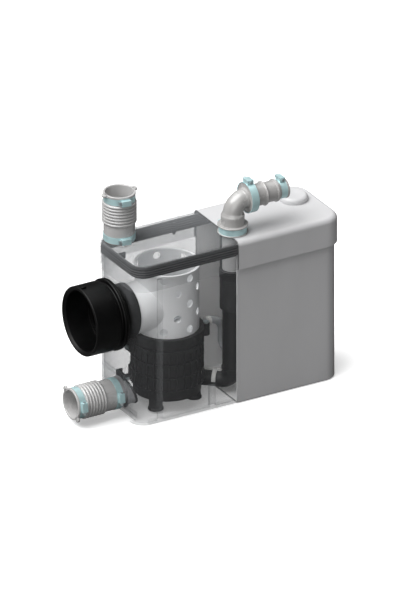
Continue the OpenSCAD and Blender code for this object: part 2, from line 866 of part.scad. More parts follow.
module impeller() {
    vane_z = foot_top + plate_t + 1;
    disc_z = volute_top - deck_t - 3.5;
    arc = (impeller_r + 4) / 2;
    color([0.72, 0.70, 0.62]) on_axis(0) difference() {
        union() {
            translate([0, 0, disc_z]) cylinder(r = impeller_r, h = 2.5);
            translate([0, 0, vane_z]) cylinder(r = shaft_r + 4, h = disc_z - vane_z + 2.5);
            intersection() {
                translate([0, 0, vane_z]) cylinder(r = impeller_r, h = disc_z - vane_z + 1);
                for (a = [0 : 60 : 300]) rotate([0, 0, a]) translate([arc, 0, vane_z])
                    rotate([0, 0, 10]) rotate_extrude(angle = 150) translate([arc - 1.5, 0])
                        square([3, disc_z - vane_z + 1]);
            }
        }
        translate([0, 0, vane_z - cut]) cylinder(r = shaft_r, h = volute_h);
    }
}

module motor_housing() {
    color([0.14, 0.14, 0.15]) on_axis(volute_top) difference() {
        union() {
            cylinder(r = motor_r, h = motor_h);
            for (z = [0, motor_h / 3, 2 * motor_h / 3, motor_h - 3])
                translate([0, 0, z]) cylinder(r = motor_r + rib_out, h = 3);
            for (k = [0 : rib_n - 1]) rotate([0, 0, k * 360 / rib_n])
                translate([motor_r - 2, -1.25, 0]) cube([rib_out + 1.5, 2.5, motor_h]);
            rotate([0, 0, 150]) translate([motor_r - 7, 0, 0]) cylinder(r = 13, h = 24);
        }
        translate([0, 0, base_t]) cylinder(r = motor_r - motor_wall, h = motor_h);
        translate([0, 0, -cut]) cylinder(r = shaft_r + 4, h = base_t + 2 * cut);
    }
}

// Screw lug on the motor's top cover
module cap_lug(a, len) {
    rotate([0, 0, a]) {
        translate([lug_ring, 0, 0]) cylinder(r = lug_r, h = len);
        translate([lug_ring - 12, -lug_r, 0]) cube([12, 2 * lug_r, len]);
    }
}

// Screw lug on the inlet side, hanging past the cover's edge over the housing
module side_lug() {
    translate([-side_out, side_y - side_w / 2, 0]) cube([side_out - motor_r + 6, side_w, cap_h - 14]);
    translate([-side_out, side_y - side_w / 2, -side_drop]) cube([side_t, side_w, side_drop + 1]);
    translate([-side_out - 1.5, side_y, side_screw_z]) rotate([0, 90, 0]) cylinder(r = 6.5, h = 3);
}

module motor_top_cover() {
    nipple_z = hose_z - housing_top;
    ring_r = motor_r + rib_out;
    roof = cap_h - 9;
    color([0.13, 0.13, 0.14]) on_axis(housing_top) difference() {
        union() {
            cylinder(r = motor_r, h = cap_h);
            cylinder(r = ring_r, h = 4);
            translate([0, 0, cap_h - 5]) cylinder(r = ring_r, h = 5);
            for (a = lug_angles) cap_lug(a, cap_h - 4);
            side_lug();
            translate([0, nipple_y, nipple_z]) rotate([0, 90, 0]) cylinder(r = barb_r, h = nipple_reach);
        }
        translate([0, 0, -cut]) difference() {
            cylinder(r = motor_r - motor_wall, h = roof + cut);
            translate([0, 0, roof - bearing_h - 1 + cut]) cylinder(r = bearing_r + 3, h = bearing_h + 2);
        }
        translate([0, 0, roof - bearing_h - 2]) cylinder(r = bearing_r, h = bearing_h + 2);
        cylinder(r = shaft_r + 4, h = cap_h + cut);
        for (a = lug_angles) rotate([0, 0, a]) translate([lug_ring + 2, 0, cap_h - 18])
            cylinder(r = screw_r, h = 20);
        translate([-side_out - 3, side_y, side_screw_z]) rotate([0, 90, 0])
            cylinder(r = screw_r, h = side_t + 2);
        translate([motor_r - motor_wall - 2, nipple_y, nipple_z]) rotate([0, 90, 0])
            cylinder(r = barb_bore, h = nipple_reach);
    }
}

// Cross-head screw standing on its seat, head above the origin
module cap_screw(len) {
    difference() {
        union() {
            translate([0, 0, -len]) cylinder(r = screw_r, h = len + 1);
            cylinder(r = 2 * screw_r, h = 3);
        }
        for (a = [0, 90]) rotate([0, 0, a]) translate([-screw_r, -0.6, 1.5]) cube([2 * screw_r, 1.2, 2]);
    }
}

module top_cover_screws() {
    color([0.70, 0.71, 0.72]) on_axis(housing_top) {
        for (a = lug_angles) rotate([0, 0, a]) translate([lug_ring + 2, 0, cap_h - 4]) cap_screw(13);
        translate([-side_out - 1.5, side_y, side_screw_z]) rotate([0, -90, 0]) cap_screw(side_t + 0.5);
    }
}

module stator_core() {
    color([0.45, 0.46, 0.48]) on_axis(core_z) tube(motor_r - motor_wall, rotor_r + air_gap, core_h);
}

module stator_windings() {
    color([0.72, 0.42, 0.20]) for (z = [core_z - winding_h, core_z + core_h]) on_axis(z) rotate_extrude() {
        translate([rotor_r + 6, 0]) square([18, winding_h]);
    }
}

module shaft_bearings() {
    color([0.66, 0.67, 0.69]) for (z = [bearing_low, bearing_high]) on_axis(z)
        tube(bearing_r, shaft_r + shaft_gap, bearing_h);
}

module shaft_seals() {
    color([0.10, 0.10, 0.10]) {
        on_axis(volute_top - deck_t) tube(shaft_r + 4, shaft_r + shaft_gap, deck_t + base_t);
        on_axis(pump_top - 9) tube(shaft_r + 4, shaft_r + shaft_gap, 9);
    }
}

module rotor_shaft() {
    color([0.76, 0.77, 0.78]) on_axis(foot_top + plate_t + 1) difference() {
        cylinder(r = shaft_r, h = cutter_z + 12 - foot_top - plate_t);
        translate([0, 0, cutter_z + 11 - foot_top - plate_t]) cylinder(r = 1.5, h = 3);
    }
}

module rotor_core() {
    color([0.55, 0.56, 0.58]) on_axis(core_z) tube(rotor_r, shaft_r, core_h);
}

module cutter_blade() {
    color([0.80, 0.81, 0.82]) on_axis(cutter_z) difference() {
        union() {
            cylinder(r = shaft_r + 5, h = 5);
            for (a = [20, 200]) rotate([0, 0, a]) {
                translate([0, -6, 0]) cube([cutter_r - 3, 12, 3]);
                translate([cutter_r - 6, -6, 0]) cube([3, 12, 13]);
            }
        }
        translate([0, 0, -cut]) cylinder(r = shaft_r, h = 7);
    }
}

module cutter_nut() {
    color([0.75, 0.74, 0.70]) on_axis(cutter_z + 5) difference() {
        cylinder(r = shaft_r + 3.5, h = 5, $fn = 6);
        translate([0, 0, -cut]) cylinder(r = shaft_r, h = 7);
    }
}

// Bar that follows the discharge run, turns up and ends under the riser
module foot_run(r, from, top) {
    leg = run_total - foot_bend;
    turn_z = run_z + foot_bend;
    translate([riser_x, riser_y, 0]) rotate([0, 0, run_angle]) {
        translate([from - run_total, 0, run_z]) rotate([0, 90, 0]) cylinder(r = r, h = leg - from);
        translate([-foot_bend, 0, turn_z]) rotate([90, 0, 0]) rotate([0, 0, -90])
            rotate_extrude(angle = 90) translate([foot_bend, 0]) circle(r);
        translate([0, 0, turn_z]) cylinder(r = r, h = top - turn_z);
    }
}

module discharge_pipe() {
    color([0.14, 0.14, 0.15]) difference() {
        foot_run(run_r, run_start, foot_pipe_top);
        foot_run(stub_r, run_start - cut, foot_pipe_top + cut);
    }
}

module riser_pipe() {
    color([0.13, 0.13, 0.14]) translate([riser_x, riser_y, 0]) difference() {
        union() {
            translate([0, 0, riser_z]) cylinder(r = riser_r, h = joint_z - riser_z);
            translate([0, 0, riser_z]) cylinder(r = riser_r + 1.5, h = 5);
            translate([0, riser_r - 2, hose_low]) rotate([-90, 0, 0]) cylinder(r = barb_r, h = barb_l);
        }
        translate([0, 0, riser_z - cut]) cylinder(r = run_r, h = joint_z);
        translate([0, 0, hose_low]) rotate([-90, 0, 0]) cylinder(r = barb_bore, h = riser_r + 2 * barb_l);
    }
}

module coupling_sleeve() {
    color([0.12, 0.12, 0.13]) translate([riser_x, riser_y, coupling_z]) difference() {
        union() {
            cylinder(r = coupling_r, h = coupling_l);
            translate([0, 0, coupling_l - 3]) cylinder(r = coupling_r + 0.8, h = 3);
        }
        translate([0, 0, -cut]) cylinder(r = riser_r, h = coupling_l + 2 * cut);
    }
}

module coupling_clamp() {
    color([0.20, 0.20, 0.21]) translate([riser_x, riser_y, coupling_band])
        band_clamp(coupling_r, band_w, coupling_turn);
}

module coupling_clamp_screw() {
    color([0.60, 0.61, 0.62]) translate([riser_x, riser_y, coupling_band])
        clamp_screw(coupling_r, band_w, coupling_turn);
}

module upper_pipe() {
    color([0.66, 0.66, 0.66]) translate([riser_x, riser_y, joint_z])
        tube(riser_r, run_r, cover_top + upper_out - joint_z);
}

module pipe_bracket() {
    color([0.80, 0.80, 0.80]) difference() {
        union() {
            on_run(clip_along - clip_w / 2) cylinder(r = run_r + clip_t, h = clip_w);
            translate([pump_x, 0, run_z]) rotate([0, 0, run_angle])
                translate([run_total - foot_bend - tie_l, run_offset - tie_w / 2, run_r - 1])
                    cube([tie_l, tie_w, clip_t + 0.6]);
        }
        on_run(run_start) cylinder(r = run_r, h = run_total - run_start);
        on_run(run_start) translate([0, -run_r - 5, 0]) cube([run_r + 5, 2 * run_r + 10, run_total]);
    }
}

module bleed_fitting() {
    color([0.90, 0.90, 0.90]) translate([fitting_x, nipple_y, hose_z]) rotate([0, 90, 0]) {
        tube(hose_r + 2.2, hose_r, 3);
        translate([0, 0, 3]) tube(hose_r + 1, hose_r, 3);
        translate([0, 0, 6]) tube(hose_r + 2.2, hose_r, 3);
    }
}

// Skin or bore of the bleed hose: out from the pump, down, then into the back of the riser
module hose_run(r, over) {
    start = pump_x + motor_r + 2;
    turn_x = riser_x - hose_bend;
    low_z = hose_low + hose_turn;
    end_y = riser_y + riser_r - 2;
    translate([start - over, nipple_y, hose_z]) rotate([0, 90, 0]) cylinder(r = r, h = turn_x - start + over);
    translate([turn_x, nipple_y, hose_z - hose_bend]) rotate([90, 0, 0])
        rotate_extrude(angle = 90) translate([hose_bend, 0]) circle(r);
    translate([riser_x, nipple_y, low_z]) cylinder(r = r, h = hose_z - hose_bend - low_z);
    translate([riser_x, nipple_y - hose_turn, low_z]) rotate([90, 0, 90]) rotate([0, 0, -90])
        rotate_extrude(angle = 90) translate([hose_turn, 0]) circle(r);
    translate([riser_x, end_y - over, hose_low]) rotate([-90, 0, 0])
        cylinder(r = r, h = nipple_y - hose_turn - end_y + over);
}

module bleed_hose() {
    color([0.45, 0.46, 0.47]) difference() {
        hose_run(hose_r, 0);
        hose_run(hose_r - hose_t, cut);
        translate([pump_x, nipple_y, hose_z]) rotate([0, 90, 0]) cylinder(r = barb_r, h = nipple_reach);
        translate([riser_x, riser_y, hose_low]) rotate([-90, 0, 0])
            cylinder(r = barb_r, h = riser_r + barb_l);
        translate([riser_x, riser_y, 0]) cylinder(r = riser_r, h = tank_h);
    }
}

module discharge_elbow() {
    step_z = cover_top + upper_out + 2;
    color([0.58, 0.57, 0.56]) {
        difference() {
            union() {
                translate([riser_x, riser_y, elbow_z]) cylinder(r = socket_r, h = bend_z - elbow_z);
                translate([riser_x, riser_y, elbow_z]) {
                    cylinder(r = base_seat, h = base_w + 2 * lip_t);
                    cylinder(r = base_lip, h = lip_t);
                    translate([0, 0, base_w + lip_t]) cylinder(r = base_lip, h = lip_t);
                }
                translate([riser_x, riser_y, bend_z]) bend(elbow_r, elbow_bend);
                outlet_line(flange_x - 3) cylinder(r = elbow_r + 1.5, h = 3);
                outlet_line(flange_x) cylinder(r = flange_r, h = flange_t);
            }
            translate([riser_x, riser_y, elbow_z - cut]) cylinder(r = socket_in, h = step_z - elbow_z + cut);
            translate([riser_x, riser_y, elbow_z]) cylinder(r = throat, h = bend_z - elbow_z);
            translate([riser_x, riser_y, bend_z]) bend(throat, elbow_bend);
            outlet_line(flange_x) cylinder(r = throat, h = flange_t + cut);
        }
    }
}

// Puts a child's axis on the check flap's hinge
module on_hinge() {
    translate([hinge_x, riser_y, line_z + check_up]) rotate([90, 0, 0]) children();
}

module valve_seat() {
    port = check_r - 2.8;
    color([0.82, 0.82, 0.82]) difference() {
        union() {
            outlet_line(valve_x) cylinder(r = flange_r, h = seat_t);
            for (side = [-1, 1])
                translate([sleeve_x - cut, riser_y + side * (hinge_w + 1.3) - 1, line_z + check_up - hinge_r])
                    cube([hinge_x - sleeve_x + hinge_r + cut, 2, 2 * hinge_r]);
        }
        outlet_line(valve_x - cut) cylinder(r = port, h = seat_t + 2 * cut);
        on_hinge() cylinder(r = hinge_pin, h = 30, center = true);
    }
}

module valve_pin() {
    color([0.75, 0.76, 0.77]) on_hinge() cylinder(r = hinge_pin, h = 2 * hinge_w + 4.6, center = true);
}

module check_flap() {
    color([0.12, 0.12, 0.12]) difference() {
        union() {
            difference() {
                outlet_line(sleeve_x + seat_gap) cylinder(r = check_r, h = check_t);
                for (side = [-1, 1])
                    translate([sleeve_x, riser_y + side * (hinge_w + 5) - 5, notch_z])
                        cube([2 * check_t, 10, check_r]);
            }
            translate([sleeve_x + seat_gap, riser_y - 4, line_z]) cube([check_t, 8, check_up]);
            on_hinge() cylinder(r = hinge_r - 0.2, h = 2 * hinge_w, center = true);
        }
        on_hinge() cylinder(r = hinge_pin + 0.05, h = 30, center = true);
    }
}

// Half section of the outlet sleeve, from its flange at 0
module outlet_section() {
    difference() {
        union() {
            square([flange_r, flange_t]);
            square([valve_bore + 2.5, valve_l - 3]);
            translate([0, valve_l - 4]) square([valve_bore + 4, 4]);
            translate([valve_bore + 4, valve_l - 2]) circle(1.2);
            translate([0, valve_l - 1]) square([valve_bore + 1, 22]);
            translate([0, valve_l + 20]) square([valve_bore + 3, 4]);
            translate([0, valve_l + 21]) square([end_seat + 1, outlet_l - valve_l - 21]);
            translate([0, outlet_l - 3]) square([end_seat + 2, 3]);
        }
        translate([-cut, -cut]) square([valve_bore + cut, valve_l + cut - 1]);
        translate([-cut, 0]) square([outlet_r + cut, outlet_l + cut]);
        translate([end_seat, outlet_l - 4 - band_w]) square([9, band_w]);
    }
}

module discharge_sleeve() {
    color([0.60, 0.59, 0.58]) outlet_line(sleeve_x) rotate_extrude() outlet_section();
}

// Places of the discharge clamps: each child is given the seat radius and the width
module flange_clamp_place() {
    outlet_line(flange_x - 0.5) children();
}

module end_clamp_place() {
    outlet_line(sleeve_x + outlet_l - 4 - band_w) children();
}

module base_clamp_place() {
    translate([riser_x, riser_y, elbow_z + lip_t]) children();
}

module discharge_clamps() {
    color([0.60, 0.74, 0.75]) {
        flange_clamp_place() band_clamp(flange_r, flange_band, 180);
        end_clamp_place() band_clamp(end_seat, band_w, 180);
        base_clamp_place() band_clamp(base_seat, base_w, base_turn);
    }
}

module discharge_clamp_screws() {
    color([0.75, 0.77, 0.78]) {
        flange_clamp_place() clamp_screw(flange_r, flange_band, 180);
        end_clamp_place() clamp_screw(end_seat, band_w, 180);
        base_clamp_place() clamp_screw(base_seat, base_w, base_turn);
    }
}

// Half section of the vent cap: domed top, skirt and plug ring
module cap_section() {
    round_r = vent_h - 3;
    difference() {
        union() {
            square([vent_r - round_r, vent_h]);
            square([vent_r, vent_h - round_r]);
            translate([vent_r - round_r, vent_h - round_r]) quarter(round_r);
            translate([cup_r - cup_t - 2.4, -5]) square([2, 6]);
        }
        translate([-cut, -6]) square([cup_r - cup_t - 2.4 + cut, vent_h + 3]);
    }
}

module vent_cap() {
    color([0.84, 0.84, 0.85]) translate([vent_x, vent_y, cover_top + seat_gap])
        rotate_extrude() cap_section();
}

module vent_filter() {
    color([0.18, 0.18, 0.18]) translate([vent_x, vent_y, cover_top - cup_h + cup_t])
        cylinder(r = cup_r - cup_t, h = 12);
}

module control_box() {
    color([0.24, 0.25, 0.26]) difference() {
        translate([box_x, box_y + box_t, box_z]) cube([box_w, box_d - box_t, box_h]);
        translate([box_x + box_t, box_y, box_z + box_t])
            cube([box_w - 2 * box_t, box_d - box_t, box_h - 2 * box_t]);
        translate([bell_x, bell_y, box_z - cut]) cylinder(r = 5, h = box_t + 2 * cut);
    }
}

module control_lid() {
    color([0.30, 0.31, 0.32]) translate([box_x, box_y, box_z]) {
        cube([box_w, box_t, box_h]);
        for (x = [8, box_w - 8], z = [8, box_h - 8])
            translate([x, 0.5, z]) rotate([90, 0, 0]) cylinder(r = 3, h = 1.5);
    }
}

module circuit_board() {
    board_x = box_x + box_w - box_t - board_l;
    board_y = back_y - box_t - 4;
    color([0.10, 0.36, 0.22]) {
        translate([board_x, board_y - 1.6, box_z + box_t]) cube([board_l, 1.6, box_h - 2 * box_t]);
        for (z = [20, box_h - 24]) translate([board_x + board_l / 2, board_y - 0.5, box_z + z])
            rotate([-90, 0, 0]) cylinder(r = 3, h = 4.5);
        translate([board_x + 10, board_y - 15, box_z + 26]) cube([20, 14, 16]);
    }
}

module start_capacitor() {
    can_r = 15;
    foot = 4;
    can_x = box_x + box_t + 14;
    color([0.85, 0.85, 0.83]) translate([can_x, back_y - box_t - can_r - foot, box_z + box_h - 24]) {
        rotate([0, 90, 0]) cylinder(r = can_r, h = can_l);
        translate([6, 0, -can_r / 2]) cube([can_l - 12, can_r + foot, can_r]);
    }
}

module pressure_switch() {
    color([0.88, 0.88, 0.86]) translate([bell_x, bell_y, box_z + box_t]) {
        cylinder(r = 17, h = 10);
        cylinder(r = 12, h = 16);
        translate([0, 0, 15]) cylinder(r = 4, h = 4);
    }
}

module air_bell() {
    color([0.70, 0.71, 0.72]) translate([bell_x, bell_y, 0]) difference() {
        union() {
            translate([0, 0, floor_t + 14]) cylinder(r = bell_r, h = box_z - floor_t - 14);
            translate([0, 0, box_z - 4]) cylinder(r = bell_r + 4, h = 4);
            translate([0, 0, box_z - 1]) cylinder(r = 5, h = box_t + 1);
        }
        translate([0, 0, 0]) cylinder(r = bell_r - 2.5, h = box_z - 8);
        cylinder(r = 2, h = box_z + 2 * box_t);
    }
}

module cable_gland() {
    color([0.20, 0.20, 0.21]) translate([tank_l / 2, gland_y, gland_z]) rotate([0, 90, 0]) difference() {
        union() {
            translate([0, 0, -tank_wall - 9]) cylinder(r = thread_r, h = tank_wall + 10);
            cylinder(r = hex_r, h = 6, $fn = 6);
            translate([0, 0, 5]) rotate_extrude() {
                square([thread_r, 12]);
                square([hex_r - 1.5, 8]);
                translate([0, 8]) intersection() {
                    circle(hex_r - 1.5);
                    square([hex_r, 6]);
                }
            }
        }
        translate([0, 0, -20]) cylinder(r = cable_r, h = 60);
    }
}

module gland_nut() {
    color([0.20, 0.20, 0.21]) translate([tank_l / 2 - tank_wall - 5, gland_y, gland_z]) rotate([0, 90, 0])
        difference() {
            cylinder(r = hex_r, h = 5, $fn = 6);
            translate([0, 0, -cut]) cylinder(r = thread_r, h = 5 + 2 * cut);
        }
}

tank_clear_section();
tank_grey_section();
cover_clear_section();
cover_grey_section();
rim_gasket();
wc_connector();
macerator_basket();
low_inlet_spigot();
low_inlet_sleeve();
low_inlet_clamps();
low_inlet_clamp_screws();
flap_bracket();
flap_pin();
inlet_flap();
top_inlet_sleeve();
top_inlet_clamps();
top_inlet_clamp_screws();
pump_feet();
volute_housing();
suction_plate();
impeller();
motor_housing();
motor_top_cover();
top_cover_screws();
stator_core();
stator_windings();
shaft_bearings();
shaft_seals();
rotor_shaft();
rotor_core();
cutter_blade();
cutter_nut();
discharge_pipe();
riser_pipe();
coupling_sleeve();
coupling_clamp();
coupling_clamp_screw();
upper_pipe();
pipe_bracket();
bleed_fitting();
bleed_hose();
discharge_elbow();
valve_seat();
valve_pin();
check_flap();
discharge_sleeve();
discharge_clamps();
discharge_clamp_screws();
vent_cap();
vent_filter();
control_box();
control_lid();
circuit_board();
start_capacitor();
pressure_switch();
air_bell();
cable_gland();
gland_nut();
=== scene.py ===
"""Looks of the macerator toilet pump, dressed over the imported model."""

import logging
import math
from dataclasses import dataclass, field
from enum import Enum

import bpy
import numpy as np
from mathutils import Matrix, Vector


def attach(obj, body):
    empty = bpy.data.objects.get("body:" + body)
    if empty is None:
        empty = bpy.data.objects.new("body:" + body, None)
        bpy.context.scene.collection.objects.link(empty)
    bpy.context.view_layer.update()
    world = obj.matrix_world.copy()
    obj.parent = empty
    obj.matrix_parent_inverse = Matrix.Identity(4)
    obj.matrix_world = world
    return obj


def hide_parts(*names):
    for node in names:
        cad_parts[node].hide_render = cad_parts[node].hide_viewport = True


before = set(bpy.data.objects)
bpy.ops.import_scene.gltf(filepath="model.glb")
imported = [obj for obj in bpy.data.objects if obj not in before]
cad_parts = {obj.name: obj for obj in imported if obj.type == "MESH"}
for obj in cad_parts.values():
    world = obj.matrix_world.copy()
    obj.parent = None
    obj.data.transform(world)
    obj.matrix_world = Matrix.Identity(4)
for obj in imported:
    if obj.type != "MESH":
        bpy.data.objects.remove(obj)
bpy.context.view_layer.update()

LOG = logging.getLogger("macerator")

# Metres in a millimetre, and the height of a fine grain in metres.
MM = 0.001
GRAIN_DEPTH = 0.0002

# Edges sharper than this many degrees stay crisp.
CRISP_ANGLE = 35.0

# Lengths in millimetres below which points count as one, and sizes that stand for nothing.
CLOSE = 1e-6
TINY = 1e-9

Colour = tuple[float, float, float]
Paint = dict[str, bpy.types.Material]


class Axis(Enum):
    """The direction in which a turned piece stands, from its foot."""

    UP = "up"
    LEFT = "left"
    RIGHT = "right"


# Shader graph


class Value:
    """A shader socket that takes part in plain arithmetic."""

    def __init__(self, graph: "Graph", socket: bpy.types.NodeSocket) -> None:
        """Wraps one output socket of a graph."""
        self.graph = graph
        self.socket = socket

    def _math(self, operation: str, *values: object) -> "Value":
        """Adds one Math node and returns its result."""
        return self.graph.node("ShaderNodeMath", {"operation": operation}, dict(enumerate(values)))

    def __add__(self, other: object) -> "Value":
        """Sum."""
        return self._math("ADD", self, other)

    def __radd__(self, other: object) -> "Value":
        """Sum with a plain number on the left."""
        return self._math("ADD", other, self)

    def __sub__(self, other: object) -> "Value":
        """Difference."""
        return self._math("SUBTRACT", self, other)

    def __rsub__(self, other: object) -> "Value":
        """Difference with a plain number on the left."""
        return self._math("SUBTRACT", other, self)

    def __mul__(self, other: object) -> "Value":
        """Product."""
        return self._math("MULTIPLY", self, other)

    def __rmul__(self, other: object) -> "Value":
        """Product with a plain number on the left."""
        return self._math("MULTIPLY", other, self)

    def __abs__(self) -> "Value":
        """Size without its sign."""
        return self._math("ABSOLUTE", self)

    def at_least(self, low: float) -> "Value":
        """The value, or the low one where that is greater."""
        return self._math("MAXIMUM", self, low)

    def sine(self) -> "Value":
        """Sine of an angle in radians."""
        return self._math("SINE", self)

    def power(self, exponent: float) -> "Value":
        """The value raised to a power."""
        return self._math("POWER", self, exponent)

    def between(self, low: float, high: float) -> "Value":
        """Smooth 0 to 1 as the value goes from low to high, in either order."""
        return self.graph.node(
            "ShaderNodeMapRange",
            {"interpolation_type": "SMOOTHSTEP", "clamp": True},
            {"Value": self, "From Min": low, "From Max": high},
        )


class Graph:
    """Node tree of one material, built from expressions."""

    # Numbers of the sockets that a Mix node uses for colours.
    MIX_LOW, MIX_HIGH, MIX_OUT = 6, 7, 2

    def __init__(self, name: str) -> None:
        """Starts a material with one Principled shader.

        Args:
            name: Name of the material.
        """
        self.material = bpy.data.materials.new(name)
        self.material.use_nodes = True
        self.tree = self.material.node_tree
        self.tree.nodes.clear()
        self.shader = self.tree.nodes.new("ShaderNodeBsdfPrincipled")
        out = self.tree.nodes.new("ShaderNodeOutputMaterial")
        self.tree.links.new(self.shader.outputs[0], out.inputs[0])

    def node(self, kind: str, settings: dict, inputs: dict, output: object = 0) -> Value:
        """Adds a node.

        Args:
            kind: The node's type.
            settings: Its own settings, set first.
            inputs: Numbers, colours or Values for its sockets, by name or number.
            output: Name or number of the socket to return.

        Returns:
            The wanted output, ready for more arithmetic.
        """
        made = self.tree.nodes.new(kind)
        for key, value in settings.items():
            setattr(made, key, value)
        for key, value in inputs.items():
            if isinstance(value, Value):
                self.tree.links.new(value.socket, made.inputs[key])
            else:
                made.inputs[key].default_value = value
        return Value(self, made.outputs[output])

    def place(self) -> Value:
        """Object coordinates in metres."""
        return self.node("ShaderNodeTexCoord", {}, {}, "Object")

    def along(self, axis: str) -> Value:
        """One coordinate of the place."""
        return self.node("ShaderNodeSeparateXYZ", {}, {0: self.place()}, axis)

    def scaled(self, size: tuple[float, float, float]) -> Value:
        """Object coordinates stretched by one factor an axis."""
        inputs = {0: self.place(), "Scale": size}
        return self.node("ShaderNodeMapping", {"vector_type": "POINT"}, inputs)

    def noise(self, scale: float, detail: float = 3.0, where: object = None) -> Value:
        """Fractal noise from 0 to 1.

        Args:
            scale: Its cells in a metre.
            detail: Layers of finer noise.
            where: Place that it is read at, else the object's own.

        Returns:
            The noise.
        """
        vector = self.place() if where is None else where
        inputs = {"Vector": vector, "Scale": scale, "Detail": detail}
        return self.node("ShaderNodeTexNoise", {}, inputs)

    def mix(self, factor: object, low: object, high: object) -> Value:
        """Colour between two colours."""
        inputs = {0: factor, self.MIX_LOW: low, self.MIX_HIGH: high}
        return self.node("ShaderNodeMix", {"data_type": "RGBA"}, inputs, self.MIX_OUT)

    def bump(self, height: Value, strength: float, distance: float) -> Value:
        """Normal of a surface raised by a height map."""
        inputs = {"Height": height, "Strength": strength, "Distance": distance}
        return self.node("ShaderNodeBump", {}, inputs)

    def feed(self, **sockets: object) -> None:
        """Sets or links inputs of the Principled shader.

        Args:
            sockets: Numbers, colours or Values by socket name, with underscores for spaces.
        """
        for key, value in sockets.items():
            socket = self.shader.inputs[key.replace("_", " ")]
            if isinstance(value, Value):
                self.tree.links.new(value.socket, socket)
            else:
                socket.default_value = value


def rgb(colour: Colour, share: float = 1.0) -> tuple[float, float, float, float]:
    """Linear colour of a screen colour.

    Args:
        colour: Red, green and blue as a screen shows them, 0 to 1.
        share: Brings them all down or up, at most to 1.

    Returns:
        The colour in the linear form that shaders take, with alpha 1.
    """
    screen = np.minimum(np.array(colour) * share, 1.0)
    linear = np.where(screen <= 0.04045, screen / 12.92, ((screen + 0.055) / 1.055) ** 2.4)
    return (*map(float, linear), 1.0)


def grey(level: float) -> tuple[float, float, float, float]:
    """Neutral colour of a linear level."""
    return (level, level, level, 1.0)


# Finishes


@dataclass(frozen=True)
class Moulding:
    """Satin injection moulding: spark grain, faint flow shading and sheen patchy from rubbing."""

    name: str
    colour: Colour
    roughness: float = 0.42
    grain: float = 0.09
    grain_scale: float = 2600.0
    variation: float = 0.05

    def lightest(self) -> float:
        """Share of the colour where the flow marks are palest."""
        return 1 + self.variation

    def surface(self, graph: Graph) -> dict[str, Value]:
        """Colour that clouds along the flow, gloss that varies from rubbing and grain that stands
        up.

        Args:
            graph: The material's graph.

        Returns:
            A value for each of the shader's sockets, by name.
        """
        flow = graph.noise(9.0, 4.0, graph.scaled((1.0, 1.0, 0.35)))
        grain = graph.noise(self.grain_scale, 2.0)
        rub = graph.noise(38.0, 5.0)
        dark, light = rgb(self.colour, 1 - self.variation), rgb(self.colour, self.lightest())
        return {
            "Base_Color": graph.mix(flow.between(0.25, 0.75), dark, light),
            "Roughness": self.roughness + 0.16 * (rub - 0.5) + 0.05 * (grain - 0.5),
            "Normal": graph.bump(grain, self.grain, GRAIN_DEPTH),
        }

    def build(self) -> bpy.types.Material:
        """Makes the material.

        Returns:
            The material.
        """
        graph = Graph(self.name)
        graph.feed(**self.surface(graph))
        return graph.material


@dataclass(frozen=True)
class Housed(Moulding):
    """Grey housing moulding: sparked outside, with painted light on the inner faces of its walls
    and floor, a paler colour that lifts their shade.
    """

    # Painted light: the paler colour of the inner faces, which lifts the shade inside the walls.
    inside: Colour = (1.0, 1.0, 1.0)
    half_l: float = 0.205
    half_d: float = 0.073
    corner: float = 0.028
    wall: float = 0.0035
    rim_z: float = 0.3
    specular: float = 0.35

    def lightest(self) -> float:
        """Share of the colour, which the flow marks only darken."""
        return 1.0

    def build(self) -> bpy.types.Material:
        """Makes the material; the painted light, a paler share, lies inside the wall's rounded
        outline.

        How far a point lies out is its distance from the rectangle of the corners' centres,
        so the inner faces are the corner's radius less the wall out, all the way round.

        Returns:
            The material.
        """
        graph = Graph(self.name)
        sockets = self.surface(graph)
        round_x = (abs(graph.along("X")) - (self.half_l - self.corner)).at_least(0.0)
        round_y = (abs(graph.along("Y")) - (self.half_d - self.corner)).at_least(0.0)
        reach = (round_x.power(2.0) + round_y.power(2.0)).power(0.5)
        face = self.corner - self.wall
        inner = reach.between(face + 0.0014, face + 0.0004)
        z = graph.along("Z")
        above_floor = z.between(self.wall - 0.0008, self.wall - 0.0002)
        below_rim = z.between(self.rim_z + 0.001, self.rim_z - 0.001)
        # Share of painted light: inner faces above the floor and below the rim.
        share = inner * (above_floor * below_rim)
        sockets["Base_Color"] = graph.mix(share, sockets["Base_Color"], rgb(self.inside))
        graph.feed(Specular_IOR_Level=self.specular, **sockets)
        return graph.material


@dataclass(frozen=True)
class ClearMoulding:
    """See-through moulding: clear where it faces the eye, misty at its edges and its back wall."""

    name: str
    colour: Colour
    front: float
    back: float
    floor: float = 0.12
    edge: float = 0.3
    rib: float = 0.12
    rib_x: float = -0.18
    rib_y: float = -0.0693
    front_y: float = -0.064
    back_y: float = 0.064
    floor_z: float = 0.006
    rib_end: float = -0.054

    def build(self) -> bpy.types.Material:
        """Makes the material: more opaque at the back, on the floor, on ribs and seen edge on.

        Returns:
            The material.
        """
        graph = Graph(self.name)
        x, y, z = (graph.along(axis) for axis in "XYZ")
        depth = y.between(self.front_y, self.back_y)
        low = 1 - z.between(0.0, self.floor_z)
        haze = graph.noise(26.0, 5.0)
        slant = graph.node("ShaderNodeLayerWeight", {}, {"Blend": 0.5}, "Facing")
        past_wall = y.between(self.rib_y, self.rib_y + 0.001)
        before_end = y.between(self.rib_end, self.rib_end - 0.006)
        ribs = past_wall * before_end * x.between(self.rib_x, self.rib_x + 0.004)
        alpha = self.front + (self.back - self.front) * depth.power(3.0) + self.floor * low
        alpha = alpha + self.edge * slant.power(3.0) + self.rib * ribs
        graph.feed(
            Base_Color=graph.mix(haze, rgb(self.colour, 0.95), rgb(self.colour)),
            Roughness=0.12 + 0.16 * haze.between(0.35, 0.8),
            Alpha=alpha * (0.9 + 0.2 * haze),
            Normal=graph.bump(graph.noise(60.0, 2.0), 0.05, 0.0006),
        )
        return graph.material


